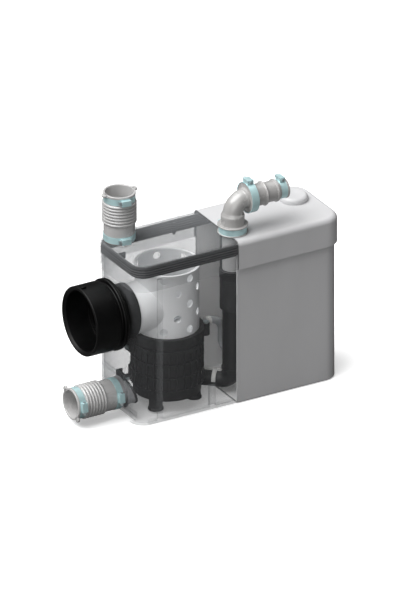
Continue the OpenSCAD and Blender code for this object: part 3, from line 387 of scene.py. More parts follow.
@dataclass(frozen=True)
class Rubber:
    """Moulded rubber: matt bloom, fine pebbling and, where it is ridged, painted highlights along
    the crests.
    """

    name: str
    colour: Colour
    roughness: float = 0.5
    bloom: float = 0.12
    pebble: float = 0.12
    specular: float = 0.5
    crest_pitch: float = 0.0
    crest_z: float = 0.0
    # Painted highlight: how much paler the ridges' crests are made.
    crest_highlight: float = 0.2
    dust: float = 0.62

    def build(self) -> bpy.types.Material:
        """Makes the material; a part with ridges gets painted highlights, paler along their crests.

        Returns:
            The material.
        """
        graph = Graph(self.name)
        cloud = graph.noise(32.0, 6.0)
        pebble = graph.noise(1500.0, 3.0)
        dust = tuple(c + (self.dust - c) * self.bloom for c in self.colour)
        colour = graph.mix(cloud.between(0.45, 0.85), rgb(self.colour), rgb(dust))
        # Painted highlight: the ridges' upper slopes are painted paler, where they would catch the
        # light.
        if self.crest_pitch:
            turn = (graph.along("Z") - self.crest_z) * (2 * math.pi / self.crest_pitch)
            crest = (turn + math.pi / 2).sine().between(0.4, 1.0)
            lit_crest = tuple(c + self.crest_highlight for c in self.colour)
            colour = graph.mix(crest, colour, rgb(lit_crest))
        graph.feed(
            Base_Color=colour,
            Roughness=self.roughness + 0.2 * (cloud - 0.5),
            Specular_IOR_Level=self.specular,
            Normal=graph.bump(pebble, self.pebble, GRAIN_DEPTH),
        )
        return graph.material


@dataclass(frozen=True)
class Metal:
    """Plated, ground or rolled metal with fine lines along one axis."""

    name: str
    colour: Colour
    metallic: float = 1.0
    roughness: float = 0.3
    lines: tuple[float, float, float] = (1.0, 1.0, 40.0)
    line_depth: float = 0.12
    stain: float = 0.1

    def build(self) -> bpy.types.Material:
        """Makes the material.

        Returns:
            The material.
        """
        graph = Graph(self.name)
        brushed = graph.noise(120.0, 4.0, graph.scaled(self.lines))
        blotch = graph.noise(70.0, 5.0)
        stained = rgb(self.colour, 1 - self.stain)
        graph.feed(
            Base_Color=graph.mix(blotch.between(0.4, 0.8), rgb(self.colour), stained),
            Metallic=self.metallic,
            Roughness=self.roughness + 0.16 * (brushed - 0.5) + 0.1 * (blotch - 0.5),
            Normal=graph.bump(brushed, self.line_depth, GRAIN_DEPTH),
        )
        return graph.material


@dataclass(frozen=True)
class Layers:
    """Stacked sheet-steel laminations: thin dark lines across the stack."""

    name: str
    colour: Colour
    pitch: float = 0.001

    def build(self) -> bpy.types.Material:
        """Makes the material.

        Returns:
            The material.
        """
        graph = Graph(self.name)
        stack = (graph.along("Z") * (2 * math.pi / self.pitch)).sine().between(-0.2, 0.9)
        graph.feed(
            Base_Color=graph.mix(stack, rgb(self.colour, 0.5), rgb(self.colour)),
            Metallic=0.8,
            Roughness=0.5 - 0.1 * stack + 0.1 * graph.noise(200.0),
            Normal=graph.bump(stack, 0.3, GRAIN_DEPTH),
        )
        return graph.material


@dataclass(frozen=True)
class Foam:
    """Open-cell filter foam, each cell darkened towards its middle with painted shade of its pore.
    """

    name: str
    colour: Colour
    # Painted shade: the dark colour of the cells' middles, standing in for the shade deep in the
    # pores.
    pore_shade: Colour = (0.04, 0.04, 0.04)
    cell_count: float = 900.0

    def build(self) -> bpy.types.Material:
        """Makes the material.

        Returns:
            The material.
        """
        graph = Graph(self.name)
        inputs = {"Vector": graph.place(), "Scale": self.cell_count}
        cells = graph.node("ShaderNodeTexVoronoi", {"feature": "DISTANCE_TO_EDGE"}, inputs)
        graph.feed(
            # Painted shade: cells turn dark away from their edges.
            Base_Color=graph.mix(cells.between(0.0, 0.2), rgb(self.colour), rgb(self.pore_shade)),
            Roughness=0.95,
            Normal=graph.bump(cells, 0.9, 0.0006),
        )
        return graph.material


# Surfaces


def fillet(points: list[tuple[float, float, float]], steps: int = 6) -> np.ndarray:
    """Closed outline with rounded corners.

    Each corner is replaced by an arc that touches both of its sides. With half the angle
    between the sides called h, the arc starts and ends r / tan(h) from the corner and its
    centre stands r / sin(h) along the line that halves the corner.

    Args:
        points: Corners as (first, second, radius), in order round the outline.
        steps: Points on each arc.

    Returns:
        Array of points, one row each.
    """
    corner = np.array(points, float)
    here = corner[:, :2]
    back = np.roll(here, 1, 0) - here
    on = np.roll(here, -1, 0) - here
    back_l = np.linalg.norm(back, axis=1)
    on_l = np.linalg.norm(on, axis=1)
    back = back / back_l[:, None]
    on = on / on_l[:, None]
    half = np.arccos(np.clip((back * on).sum(1), -1, 1)) / 2
    reach = np.minimum(corner[:, 2] / np.tan(half), 0.49 * np.minimum(back_l, on_l))
    radius = reach * np.tan(half)
    middle = back + on
    length = np.linalg.norm(middle, axis=1)
    straight = length < CLOSE
    middle = middle / np.where(straight, 1, length)[:, None]
    centre = here + middle * (radius / np.maximum(np.sin(half), TINY))[:, None]
    start = here + back * reach[:, None] - centre
    end = here + on * reach[:, None] - centre
    turn = np.linspace(0, 1, steps)[None, :, None]
    blend = start[:, None] * (1 - turn) + end[:, None] * turn
    size = np.linalg.norm(blend, axis=2, keepdims=True)
    arc = centre[:, None] + blend / np.where(size < TINY, 1, size) * radius[:, None, None]
    sharp = (radius < TINY) | straight
    arc[sharp] = here[sharp][:, None]
    outline = arc.reshape(-1, 2)
    keep = np.linalg.norm(outline - np.roll(outline, 1, 0), axis=1) > CLOSE
    return outline[keep]


def grid_faces(rows: int, columns: int) -> np.ndarray:
    """Four-sided faces of a grid that closes on itself both ways.

    Args:
        rows: Rows of points.
        columns: Points in a row.

    Returns:
        Four point numbers a row, one row for each face.
    """
    i, j = np.meshgrid(np.arange(rows), np.arange(columns), indexing="ij")
    a = i * columns + j
    b = i * columns + (j + 1) % columns
    c = (i + 1) % rows * columns + (j + 1) % columns
    d = (i + 1) % rows * columns + j
    return np.stack([a, b, c, d], -1).reshape(-1, 4)


@dataclass
class Shell:
    """Closed surface: points, four-sided faces and flat ends."""

    points: np.ndarray
    quads: np.ndarray
    ends: list[list[int]] = field(default_factory=list)

    def volume(self) -> float:
        """Signed space inside the quads.

        Returns:
            Six times their volume, positive where they face outwards.
        """
        middle = self.points.mean(0)
        a, b, c, d = (self.points[self.quads[:, k]] - middle for k in range(4))
        return float((np.cross(a, b) * c).sum() + (np.cross(a, c) * d).sum())


def ring_of(outline: np.ndarray, axis: Axis, origin: Vector, turns: int = 96) -> Shell:
    """Ring swept by a closed outline round an axis.

    A point at distance r and height h of the outline goes round the axis at angle t to
    (r cos t, r sin t, h), which is then laid along the wanted axis from the origin.

    Args:
        outline: Points of (distance from the axis, height), in millimetres.
        axis: Which way the height runs.
        origin: Foot of the axis, in metres.
        turns: Steps round the axis.

    Returns:
        The ring's surface.
    """
    t = np.linspace(0, 2 * math.pi, turns, endpoint=False)
    r, h = outline[:, 0][None] * MM, outline[:, 1][None] * MM
    one, two = r * np.cos(t)[:, None], r * np.sin(t)[:, None]
    return Shell(laid(axis, one, two, h + 0 * one, origin), grid_faces(*one.shape))


def laid(
    axis: Axis, one: np.ndarray, two: np.ndarray, high: np.ndarray, origin: Vector
) -> np.ndarray:
    """Points of a piece that stands on an origin along an axis.

    Args:
        axis: Which way the height runs.
        one: First coordinate across the axis, in metres.
        two: Second coordinate across the axis.
        high: Height along the axis.
        origin: Foot of the axis.

    Returns:
        One row for each point.
    """
    order = {
        Axis.UP: (one, two, high),
        Axis.LEFT: (-high, two, one),
        Axis.RIGHT: (high, two, -one),
    }
    return np.stack(order[axis], -1).reshape(-1, 3) + np.array(origin)


def prism(
    outline: np.ndarray,
    low: float,
    high: float,
    edge: float,
    axis: Axis = Axis.UP,
    origin: Vector = Vector((0.0, 0.0, 0.0)),
) -> Shell:
    """Plate with softened edges: an outline carried straight from one height to another.

    Towards each end the outline shrinks about its middle by the edge's size while the height
    goes on to the end along a quarter circle.

    Args:
        outline: Points across the axis, in millimetres.
        low: First height.
        high: Last height.
        edge: Radius of the softened edges.
        axis: Which way the height runs.
        origin: Foot of the axis, in metres.

    Returns:
        The plate's surface.
    """
    t = np.linspace(0, math.pi / 2, 4)
    drop = np.concatenate([edge * (1 - np.sin(t)), edge * (1 - np.cos(t))])
    height = np.concatenate([low + edge * (1 - np.cos(t)), high - edge + edge * np.sin(t)])
    middle = outline.mean(0)
    reach = outline - middle
    size = np.abs(reach).max(0)
    rows = middle + reach[None] * (1 - drop[:, None, None] / size[None, None])
    high_rows = np.broadcast_to(height[:, None], rows.shape[:2])
    points = laid(axis, rows[..., 0] * MM, rows[..., 1] * MM, high_rows * MM, origin)
    count, across = rows.shape[:2]
    quads = grid_faces(count, across).reshape(count, across, 4)[:-1].reshape(-1, 4)
    last = (count - 1) * across
    ends = [list(range(across))[::-1], list(range(last, last + across))]
    return Shell(points, quads, ends)


def box_outline(
    x: float, y: float, length: float, depth: float, corner: float = 0.8
) -> np.ndarray:
    """Rectangle with round corners, from its lowest corner."""
    far_x, far_y = x + length, y + depth
    return fillet([(a, b, corner) for a, b in ((x, y), (far_x, y), (far_x, far_y), (x, far_y))])


def swept(
    path: np.ndarray, side: np.ndarray, outer: np.ndarray, inner: np.ndarray, turns: int
) -> Shell:
    """Tube wall along a path that lies in one plane.

    At a point of the path with tangent T, the section is the circle c + r (cos t S + sin t N),
    where S is the plane's own normal and N is T x S. The rows run along the outside and then
    back along the inside, so the wall closes on itself at both ends.

    Args:
        path: Centre points in millimetres.
        side: Unit normal of the path's plane.
        outer: Outer radius at each point.
        inner: Inner radius at each point.
        turns: Steps round the tube.

    Returns:
        The wall's surface.
    """
    tangent = np.gradient(path, axis=0)
    tangent /= np.linalg.norm(tangent, axis=1)[:, None]
    normal = np.cross(tangent, side)
    t = np.linspace(0, 2 * math.pi, turns, endpoint=False)[None, :, None]
    ring = side * np.cos(t) + normal[:, None] * np.sin(t)
    out = path[:, None] + ring * outer[:, None, None]
    back = path[:, None] + ring * inner[:, None, None]
    rows = np.concatenate([out, back[::-1]])
    return Shell(rows.reshape(-1, 3) * MM, grid_faces(rows.shape[0], turns))


def make_piece(name: str, *shells: Shell) -> bpy.types.Object:
    """Object from one or more closed shells, each turned to face outwards.

    Args:
        name: Name of the piece.
        shells: The surfaces that it is made of.

    Returns:
        The object, at the origin.
    """
    points, faces, offset = [], [], 0
    for shell in shells:
        flip = shell.volume() < 0
        quads = shell.quads[:, ::-1] if flip else shell.quads
        ends = [end[::-1] if flip else end for end in shell.ends]
        points.append(shell.points)
        faces += (quads + offset).tolist() + [[k + offset for k in end] for end in ends]
        offset += len(shell.points)
    mesh = bpy.data.meshes.new(name)
    mesh.from_pydata(np.concatenate(points), [], faces)
    mesh.validate()
    mesh.shade_smooth()
    mesh.set_sharp_from_angle(angle=math.radians(CRISP_ANGLE))
    piece = bpy.data.objects.new(name, mesh)
    bpy.context.scene.collection.objects.link(piece)
    return piece


# Studio


@dataclass(frozen=True)
class Lamp:
    """Distant soft lamp.

    Its direction leads from the object to it, its power is the light on a surface that faces
    it, and its spread is its apparent width in degrees.
    """

    name: str
    direction: tuple[float, float, float]
    power: float
    spread: float

    def build(self) -> None:
        """Puts the lamp in the scene."""
        data = bpy.data.lights.new(self.name, "SUN")
        data.energy = self.power * math.pi
        data.angle = math.radians(self.spread)
        lamp = bpy.data.objects.new(self.name, data)
        lamp.rotation_mode = "QUATERNION"
        lamp.rotation_quaternion = Vector(self.direction).to_track_quat("Z", "Y")
        bpy.context.scene.collection.objects.link(lamp)


@dataclass
class Studio:
    """Camera, lamps, floor and background."""

    azimuth: float = 30.1
    elevation: float = 26.1
    span: float = 1.05
    aim: tuple[float, float, float] = (-0.0364, 0.0, 0.1785)
    distance: float = 3.0
    reach: float = 20.0
    lamps: tuple[Lamp, ...] = (
        Lamp("key_lamp", (-0.5, 0.05, 0.86), power=1.05, spread=55.0),
        Lamp("top_lamp", (-0.25, 0.3, 1.0), power=0.66, spread=90.0),
        Lamp("front_lamp", (-0.55, -0.8, 0.4), power=0.3, spread=50.0),
    )
    fill: float = 0.05
    floor_half: float = 6.0
    floor_z: float = -0.0005
    floor_lit: float = 0.12
    floor_seen: float = 0.92
    floor_glow: float = 0.3

    def camera(self) -> None:
        """Makes the parallel camera at the photograph's angle."""
        turn, rise = math.radians(self.azimuth), math.radians(self.elevation)
        back = Vector(
            (-math.sin(turn) * math.cos(rise), -math.cos(turn) * math.cos(rise), math.sin(rise))
        )
        data = bpy.data.cameras.new("camera")
        data.type = "ORTHO"
        data.ortho_scale = self.span
        data.clip_end = self.reach
        camera = bpy.data.objects.new("camera", data)
        camera.location = Vector(self.aim) + back * self.distance
        camera.rotation_mode = "QUATERNION"
        camera.rotation_quaternion = (-back).to_track_quat("-Z", "Y")
        bpy.context.scene.collection.objects.link(camera)
        bpy.context.scene.camera = camera

    def world(self) -> None:
        """Soft even light, and a white background for what sees past the object."""
        world = bpy.data.worlds.new("world")
        bpy.context.scene.world = world
        world.use_nodes = True
        tree = world.node_tree
        tree.nodes.clear()
        path = tree.nodes.new("ShaderNodeLightPath")
        mix = tree.nodes.new("ShaderNodeMixShader")
        tree.links.new(path.outputs["Is Camera Ray"], mix.inputs[0])
        for socket, strength in ((1, self.fill), (2, 1.0)):
            light = tree.nodes.new("ShaderNodeBackground")
            light.inputs["Color"].default_value = grey(1.0)
            light.inputs["Strength"].default_value = strength
            tree.links.new(light.outputs[0], mix.inputs[socket])
        out = tree.nodes.new("ShaderNodeOutputWorld")
        tree.links.new(mix.outputs[0], out.inputs[0])

    def floor(self) -> None:
        """Plain pale floor under the object."""
        half = self.floor_half
        mesh = bpy.data.meshes.new("floor")
        corners = [(-half, -half), (half, -half), (half, half), (-half, half)]
        mesh.from_pydata([(x, y, self.floor_z) for x, y in corners], [], [(0, 1, 2, 3)])
        floor = bpy.data.objects.new("floor", mesh)
        bpy.context.scene.collection.objects.link(floor)
        graph = Graph("floor_paint")
        seen = graph.node("ShaderNodeLightPath", {}, {}, "Is Camera Ray")
        graph.feed(
            Base_Color=graph.mix(seen, grey(self.floor_lit), grey(self.floor_seen)),
            Emission_Color=graph.mix(seen, grey(0.0), grey(self.floor_glow)),
            Emission_Strength=1.0,
            Roughness=0.9,
            Specular_IOR_Level=0.0,
        )
        mesh.materials.append(graph.material)

    def build(self) -> None:
        """Makes the whole studio."""
        self.camera()
        self.world()
        for lamp in self.lamps:
            lamp.build()
        self.floor()
        bpy.context.scene.view_settings.view_transform = "Standard"
        LOG.info("studio set: span %.2f m", self.span)


# Sub-assemblies


@dataclass
class Assembly:
    """Sub-assembly that takes its looks from the finishes of the whole object."""

    paint: Paint

    def dress(self, finish: str, *nodes: str) -> None:
        """Gives CAD nodes their finish.

        Args:
            finish: Name of the finish.
            nodes: Names of the nodes.
        """
        for node in nodes:
            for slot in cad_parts[node].material_slots:
                slot.material = self.paint[finish]
            LOG.info("dressed %s in %s", node, finish)

    def stand_in(
        self, piece: bpy.types.Object, node: str, body: str, slot: str, finish: str
    ) -> None:
        """Puts a finer piece in the place of a CAD node.

        Args:
            piece: The new piece.
            node: The node that it stands for.
            body: The body that it rides on.
            slot: The record's material slot; not used.
            finish: Name of its finish.
        """
        piece.data.materials.clear()
        piece.data.materials.append(self.paint[finish])
        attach(piece, body)
        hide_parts(node)
        LOG.info("made %s for %s on %s", piece.name, node, body)


@dataclass
class Housing(Assembly):
    """Tank and cover, each in a clear and a grey section, with the gasket between."""

    wall: float = 3.5
    corner: float = 28.0
    half_l: float = 205.0
    half_d: float = 73.0
    rim: float = 300.0
    gasket_top: float = 308.0
    gasket_in: float = 5.5
    lip: float = 11.0
    skirt: float = 15.0
    ridges: int = 3
    ridge_pitch: float = 4.545
    groove: float = 0.3
    crest: float = 1.6

    def gasket(self) -> bpy.types.Object:
        """Rim gasket: one lip profile carried round the tank's outline.

        The outline is a rectangle with round corners. A point of the profile that lies o
        outside the outline goes to the outline's own point plus o times its normal.

        Returns:
            The gasket with its tab and rib.
        """
        low = self.rim - self.lip
        foot = self.rim - self.skirt
        ridges = []
        for k in range(self.ridges):
            z = low + 0.5 + self.ridge_pitch * k
            ridges += [
                (self.groove, z, 0.2),
                (self.crest, z + 0.2, 0.2),
                (self.crest, z + 0.9, 0.3),
                (self.groove, z + 2.7, 0.2),
            ]
        profile = fillet(
            [
                (0.0, low, 0.2),
                (self.groove, low, 0.1),
                *ridges,
                (1.0, self.gasket_top, 4.0),
                (-self.gasket_in, self.gasket_top, 1.2),
                (-self.gasket_in, foot, 0.6),
                (-self.wall, foot, 0.6),
                (-self.wall, self.rim, 0.3),
                (0.0, self.rim, 0.3),
            ]
        )
        steps = 32
        quadrant = np.repeat(np.arange(4), steps)
        sx = np.array([1, -1, -1, 1])[quadrant] * (self.half_l - self.corner)
        sy = np.array([1, 1, -1, -1])[quadrant] * (self.half_d - self.corner)
        angle = quadrant * math.pi / 2 + np.tile(np.linspace(0, math.pi / 2, steps), 4)
        normal = np.stack([np.cos(angle), np.sin(angle)], -1)
        base = np.stack([sx, sy], -1) + self.corner * normal
        flat = base[:, None] + normal[:, None] * profile[None, :, :1]
        high = np.broadcast_to(profile[None, :, 1:], (*flat.shape[:2], 1))
        rows = np.concatenate([flat, high], -1) * MM
        ring = Shell(rows.reshape(-1, 3), grid_faces(*rows.shape[:2]))
        tab = box_outline(x=-200.5, y=3.5, length=16.0, depth=3.0)
        rib = box_outline(x=-53.0, y=64.5, length=5.0, depth=4.0)
        return make_piece(
            "gasket_lip",
            ring,
            prism(tab, self.rim - 5.0, self.rim + 7.0, edge=0.8),
            prism(rib, self.rim - 18.0, self.rim + 5.0, edge=0.8),
        )

    def build(self) -> None:
        """Dresses the housing and makes its gasket."""
        self.dress("clear_tank", "tank_clear_section")
        self.dress("clear_cover", "cover_clear_section")
        self.dress("housing_grey", "tank_grey_section", "cover_grey_section")
        self.stand_in(self.gasket(), "rim_gasket", "tank", "seal_rubber", "gasket_rubber")


@dataclass
class WcConnector(Assembly):
    """Black rubber connector on the inlet end, from the tank wall out to its bell."""

    axis_z: float = 196.0
    end_x: float = -205.0
    bore: float = 55.0
    bell: float = 63.5
    mouth: float = 75.0
    collar: float = 65.0
    neck: float = 58.5
    seal: float = 52.6
    throat: float = 43.5

    def section(self) -> np.ndarray:
        """Outline of the wall: outside from the tank to the mouth, then back along the bore.

        Returns:
            Points of (distance from the axis, way out from the tank), in millimetres.
        """
        return fillet(
            [
                (46.0, -22.0, 0.5),
                (49.0, -22.0, 0.8),
                (49.0, 5.0, 0.8),
                (52.0, 5.0, 0.6),
                (52.0, 11.0, 0.6),
                (self.collar, 11.0, 1.2),
                (self.collar, 14.6, 0.8),
                (62.9, 15.2, 0.3),
                (64.6, 16.0, 0.8),
                (65.4, 17.5, 0.7),
                (64.6, 19.4, 0.8),
                (self.neck, 20.2, 1.5),
                (self.neck, 26.0, 1.5),
                (self.bell, 27.4, 1.6),
                (self.bell, self.mouth, 4.0),
                (59.2, self.mouth, 1.2),
                (self.bore, self.mouth - 4.2, 1.2),
                (self.bore, 27.6, 0.4),
                (self.seal, 27.2, 0.5),
                (self.seal, 26.2, 0.5),
                (self.bore, 25.8, 0.4),
                (self.bore, 23.6, 0.4),
                (self.seal, 23.3, 0.5),
                (self.seal, 22.3, 0.5),
                (self.seal, 22.0, 0.3),
                (self.throat, 22.0, 1.4),
                (self.throat, 3.0, 0.5),
                (46.0, 3.0, 0.5),
            ]
        )

    def build(self) -> None:
        """Makes the connector with the pull tab under its bell."""
        origin = Vector((self.end_x, 0.0, self.axis_z)) * MM
        wall = ring_of(self.section(), Axis.LEFT, origin, 160)
        outline = box_outline(x=61.5, y=-3.0, length=5.0, depth=6.0)
        tab = prism(outline, self.mouth - 12.0, self.mouth - 3.0, 0.8, Axis.LEFT, origin)
        piece = make_piece("wc_bell", wall, tab)
        self.stand_in(piece, "wc_connector", "tank", "connector_rubber", "connector_rubber")


@dataclass
class InletSleeve(Assembly):
    """Ribbed hose sleeve with two band seats, a row of pleats and two pull ears."""

    node: str
    body: str
    axis: Axis
    origin: tuple[float, float, float]
    ear_angle: float
    length: float = 93.0
    bore: float = 25.0
    outside: float = 28.0
    spigot: float = 24.5
    band: float = 27.4
    band_h: float = 12.0
    pleat: float = 2.8
    pleats: int = 7
    pitch: float = 5.9

    def section(self) -> np.ndarray:
        """Outline of the wall; each pleat is half a circle that stands on the outside.

        Returns:
            Points of (distance from the axis, height), in millimetres.
        """
        high = self.length - 16.0
        first = high - 4.0 - (self.pleats - 1) * self.pitch
        t = np.linspace(0, math.pi, 15)
        centre = first + self.pitch * np.arange(self.pleats)
        pleat_r = self.outside - 0.1 + np.tile(self.pleat * 1.04 * np.sin(t), self.pleats)
        pleat_h = (centre[:, None] - self.pleat * np.cos(t)[None]).ravel()
        low = fillet(
            [
                (self.spigot, 0.0, 0.5),
                (self.outside, 0.0, 0.6),
                (self.outside, 2.0, 0.3),
                (self.band, 2.0, 0.3),
                (self.band, 2.0 + self.band_h, 0.3),
                (self.outside, 2.0 + self.band_h, 0.3),
                (self.outside, first - self.pleat - 1.0, 0.0),
                (self.outside, high, 0.3),
                (self.band, high, 0.3),
                (self.band, high + self.band_h, 0.3),
                (self.outside + 1.0, high + self.band_h, 0.4),
                (self.outside + 1.0, self.length, 0.8),
                (self.bore, self.length, 0.9),
                (self.bore, 30.0, 0.2),
                (self.spigot, 30.0, 0.2),
            ]
        )
        cut = int(np.argmax(low[:, 1] > first - self.pleat - 1.01)) + 1
        ribs = np.stack([pleat_r, pleat_h], -1)
        return np.concatenate([low[:cut], ribs, low[cut:]])

    def ear(self, turn: float) -> Shell:
        """Pull ear: a tab with a round end that stands out from the lip.

        Args:
            turn: Its angle round the lip.

        Returns:
            The ear's surface.
        """
        reach = self.outside + 7.0
        wide = 5.5
        tab = fillet(
            [
                (self.outside - 1.5, -wide, 0.5),
                (reach, -wide, 5.0),
                (reach, wide, 5.0),
                (self.outside - 1.5, wide, 0.5),
            ],
            10,
        )
        c, s = math.cos(turn), math.sin(turn)
        tab = tab @ np.array([[c, s], [-s, c]])
        return prism(tab, self.length - 4.0, self.length, 0.7, self.axis, Vector(self.origin) * MM)

    def build(self) -> None:
        """Makes the sleeve."""
        wall = ring_of(self.section(), self.axis, Vector(self.origin) * MM, 128)
        turn = math.radians(self.ear_angle)
        ears = [self.ear(turn), self.ear(turn + math.pi)]
        piece = make_piece(self.node.replace("sleeve", "bellows"), wall, *ears)
        self.stand_in(piece, self.node, self.body, "sleeve_rubber", "sleeve_rubber")


@dataclass
class Outlet(Assembly):
    """Elbow, valve seat and stepped sleeve of the discharge above the cover."""

    x: float = 9.0
    y: float = -36.0
    base: float = 316.3
    bend: float = 25.0
    bend_z: float = 351.0
    pipe: float = 17.5
    throat: float = 14.5
    flange: float = 27.0
    sleeve_x: float = 43.0

    def elbow(self) -> bpy.types.Object:
        """Elbow with its base socket and flange.

        The centre line runs up, turns through a quarter circle and ends along +X. Its radius
        follows the distance along that line: the lipped base, a socket, a smooth taper down to
        the pipe and the flange at the end.

        Returns:
            The elbow.
        """
        arc = self.bend * math.pi / 2
        up = self.bend_z - self.base
        end = up + arc
        total = end + 4.0
        lip, band, socket = 27.3, 23.8, 21.0
        knots = np.array(
            [
                (0.0, 26.8), (0.3, lip), (1.7, lip), (2.0, 26.9), (2.01, band), (13.99, band),
                (14.0, 26.9), (14.3, lip), (15.7, lip), (16.0, 26.9), (16.02, 21.3), (16.6, socket),
                (up - 2.5, socket), (up - 1.0, 20.6), (up + 1.5, 18.8), (up + 3.0, 17.8),
                (up + 4.5, self.pipe), (end - 5.0, self.pipe), (end - 4.0, 17.8), (end - 3.0, 19.0),
                (end - 0.4, 19.4), (end, 20.0), (end + 0.01, 26.4), (end + 0.6, self.flange),
                (total - 0.3, self.flange), (total, 26.7),
            ]
        )
        throat = self.throat
        bores = np.array(
            [(0.0, 18.8), (20.0, 18.8), (20.01, 14.6), (up - 5.0, throat), (total, throat)]
        )
        s = np.unique(np.concatenate([knots[:, 0], bores[:, 0], np.linspace(0, total, 90)]))
        outer = np.interp(s, knots[:, 0], knots[:, 1])
        inner = np.interp(s, bores[:, 0], bores[:, 1])
        turn = np.clip((s - up) / self.bend, 0, math.pi / 2)
        past = np.maximum(s - end, 0)
        path = np.stack(
            [
                self.x + self.bend * (1 - np.cos(turn)) + past,
                self.y + 0 * s,
                self.base + np.minimum(s, up) + self.bend * np.sin(turn),
            ],
            -1,
        )
        return make_piece("outlet_bend", swept(path, np.array([0.0, 1.0, 0.0]), outer, inner, 96))

    def sleeve(self) -> bpy.types.Object:
        """Stepped outlet sleeve with two raised beads.

        Returns:
            The sleeve.
        """
        section = fillet(
            [
                (self.pipe, 0.0, 0.2),
                (self.flange, 0.0, 0.4),
                (self.flange, 4.0, 0.8),
                (20.0, 4.0, 1.2),
                (20.0, 23.6, 0.6),
                (21.5, 24.2, 0.4),
                (22.6, 26.0, 0.8),
                (21.5, 27.8, 0.4),
                (18.6, 28.6, 0.8),
                (18.6, 47.6, 0.6),
                (20.6, 48.4, 0.8),
                (20.6, 51.4, 0.8),
                (self.pipe, 52.2, 0.5),
                (self.pipe, 56.0, 0.3),
                (16.5, 56.0, 0.2),
                (16.5, 68.0, 0.2),
                (18.5, 68.0, 0.4),
                (18.5, 72.0, 0.9),
                (14.0, 72.0, 0.9),
                (14.0, 27.0, 0.8),
                (self.pipe, 27.0, 0.8),
            ]
        )
        origin = Vector((self.sleeve_x, self.y, self.bend_z + self.bend)) * MM
        return make_piece("outlet_sleeve", ring_of(section, Axis.RIGHT, origin, 128))

    def build(self) -> None:
        """Makes the elbow and sleeve and dresses the valve and clamps."""
        self.stand_in(self.elbow(), "discharge_elbow", "elbow", "sleeve_rubber", "elbow_rubber")
        self.stand_in(self.sleeve(), "discharge_sleeve", "elbow", "sleeve_rubber", "elbow_rubber")
        self.dress("white_moulding", "valve_seat")
        self.dress("flap_rubber", "check_flap")
        self.dress("clamp_steel", "discharge_clamps")
        self.dress("screw_steel", "valve_pin", "discharge_clamp_screws")


@dataclass
class Riser(Assembly):
    """Pipes from the pump up to the cover, with their coupling, clip and bleed hose."""

    x: float = 9.0
    y: float = -36.0
    hose: float = 6.4
    hose_wall: float = 2.2
    hose_x: float = -39.0
    hose_y: float = 4.0
    hose_z: float = 132.0
    low_z: float = 78.0
    bend: float = 22.0
    turn: float = 14.0
    pipe: float = 18.5
    coupling_z: float = 169.0
    coupling_l: float = 77.0
    coupling_r: float = 23.0

    def bleed_hose(self) -> bpy.types.Object:
        """Moulded bleed hose: out from the pump, down, then into the back of the riser.

        The centre line is straight legs and two quarter circles, sampled by distance along it.
        Each bend lies in a plane of its own, so the hose is two walls that meet halfway down.

        Returns:
            The hose.
        """
        reach = self.x - self.bend - self.hose_x
        down = self.hose_z - self.bend - self.low_z - self.turn
        arc_one, arc_two = self.bend * math.pi / 2, self.turn * math.pi / 2
        last = self.hose_y - self.turn - (self.y + self.pipe) + 0.4
        marks = np.cumsum([0.0, reach, arc_one, down, arc_two, last])
        s = np.linspace(0, marks[-1], 120)
        one = np.clip((s - marks[1]) / self.bend, 0, math.pi / 2)
        two = np.clip((s - marks[3]) / self.turn, 0, math.pi / 2)
        x = self.hose_x + np.minimum(s, reach) + self.bend * np.sin(one)
        z = self.hose_z - self.bend * (1 - np.cos(one)) - np.clip(s - marks[2], 0, down)
        z = z - self.turn * np.sin(two)
        y = self.hose_y - self.turn * (1 - np.cos(two)) - np.maximum(s - marks[4], 0)
        path = np.stack([x, y, z], -1)
        outer = self.hose + 0.12 * np.sin(s * 2 * math.pi / 3.0)
        cut = int(np.searchsorted(s, (marks[2] + marks[3]) / 2))
        walls = []
        for part, side in ((slice(cut + 1), (0.0, 1.0, 0.0)), (slice(cut, None), (1.0, 0.0, 0.0))):
            inner = outer[part] - self.hose_wall
            walls.append(swept(path[part], np.array(side), outer[part], inner, 48))
        return make_piece("bleed_hose_wall", *walls)

    def coupling(self) -> bpy.types.Object:
        """Rubber coupling round the joint of the two pipes.

        Returns:
            The coupling.
        """
        section = fillet(
            [
                (self.pipe, 0.0, 0.4),
                (self.coupling_r, 0.0, 1.4),
                (self.coupling_r, self.coupling_l - 3.0, 0.4),
                (self.coupling_r + 0.8, self.coupling_l - 2.6, 0.4),
                (self.coupling_r + 0.8, self.coupling_l, 0.9),
                (self.pipe, self.coupling_l, 0.6),
            ]
        )
        origin = Vector((self.x, self.y, self.coupling_z)) * MM
        return make_piece("coupling_wall", ring_of(section, Axis.UP, origin))

    def build(self) -> None:
        """Makes the hose and coupling and dresses the pipes."""
        self.stand_in(self.bleed_hose(), "bleed_hose", "tank", "hose_rubber", "hose_rubber")
        self.stand_in(self.coupling(), "coupling_sleeve", "tank", "seal_rubber", "black_rubber")
        self.dress("black_moulding", "discharge_pipe", "riser_pipe", "coupling_clamp")
        self.dress("pipe_grey", "upper_pipe")
        self.dress("screw_steel", "coupling_clamp_screw")
        self.dress("white_moulding", "pipe_bracket", "bleed_fitting")


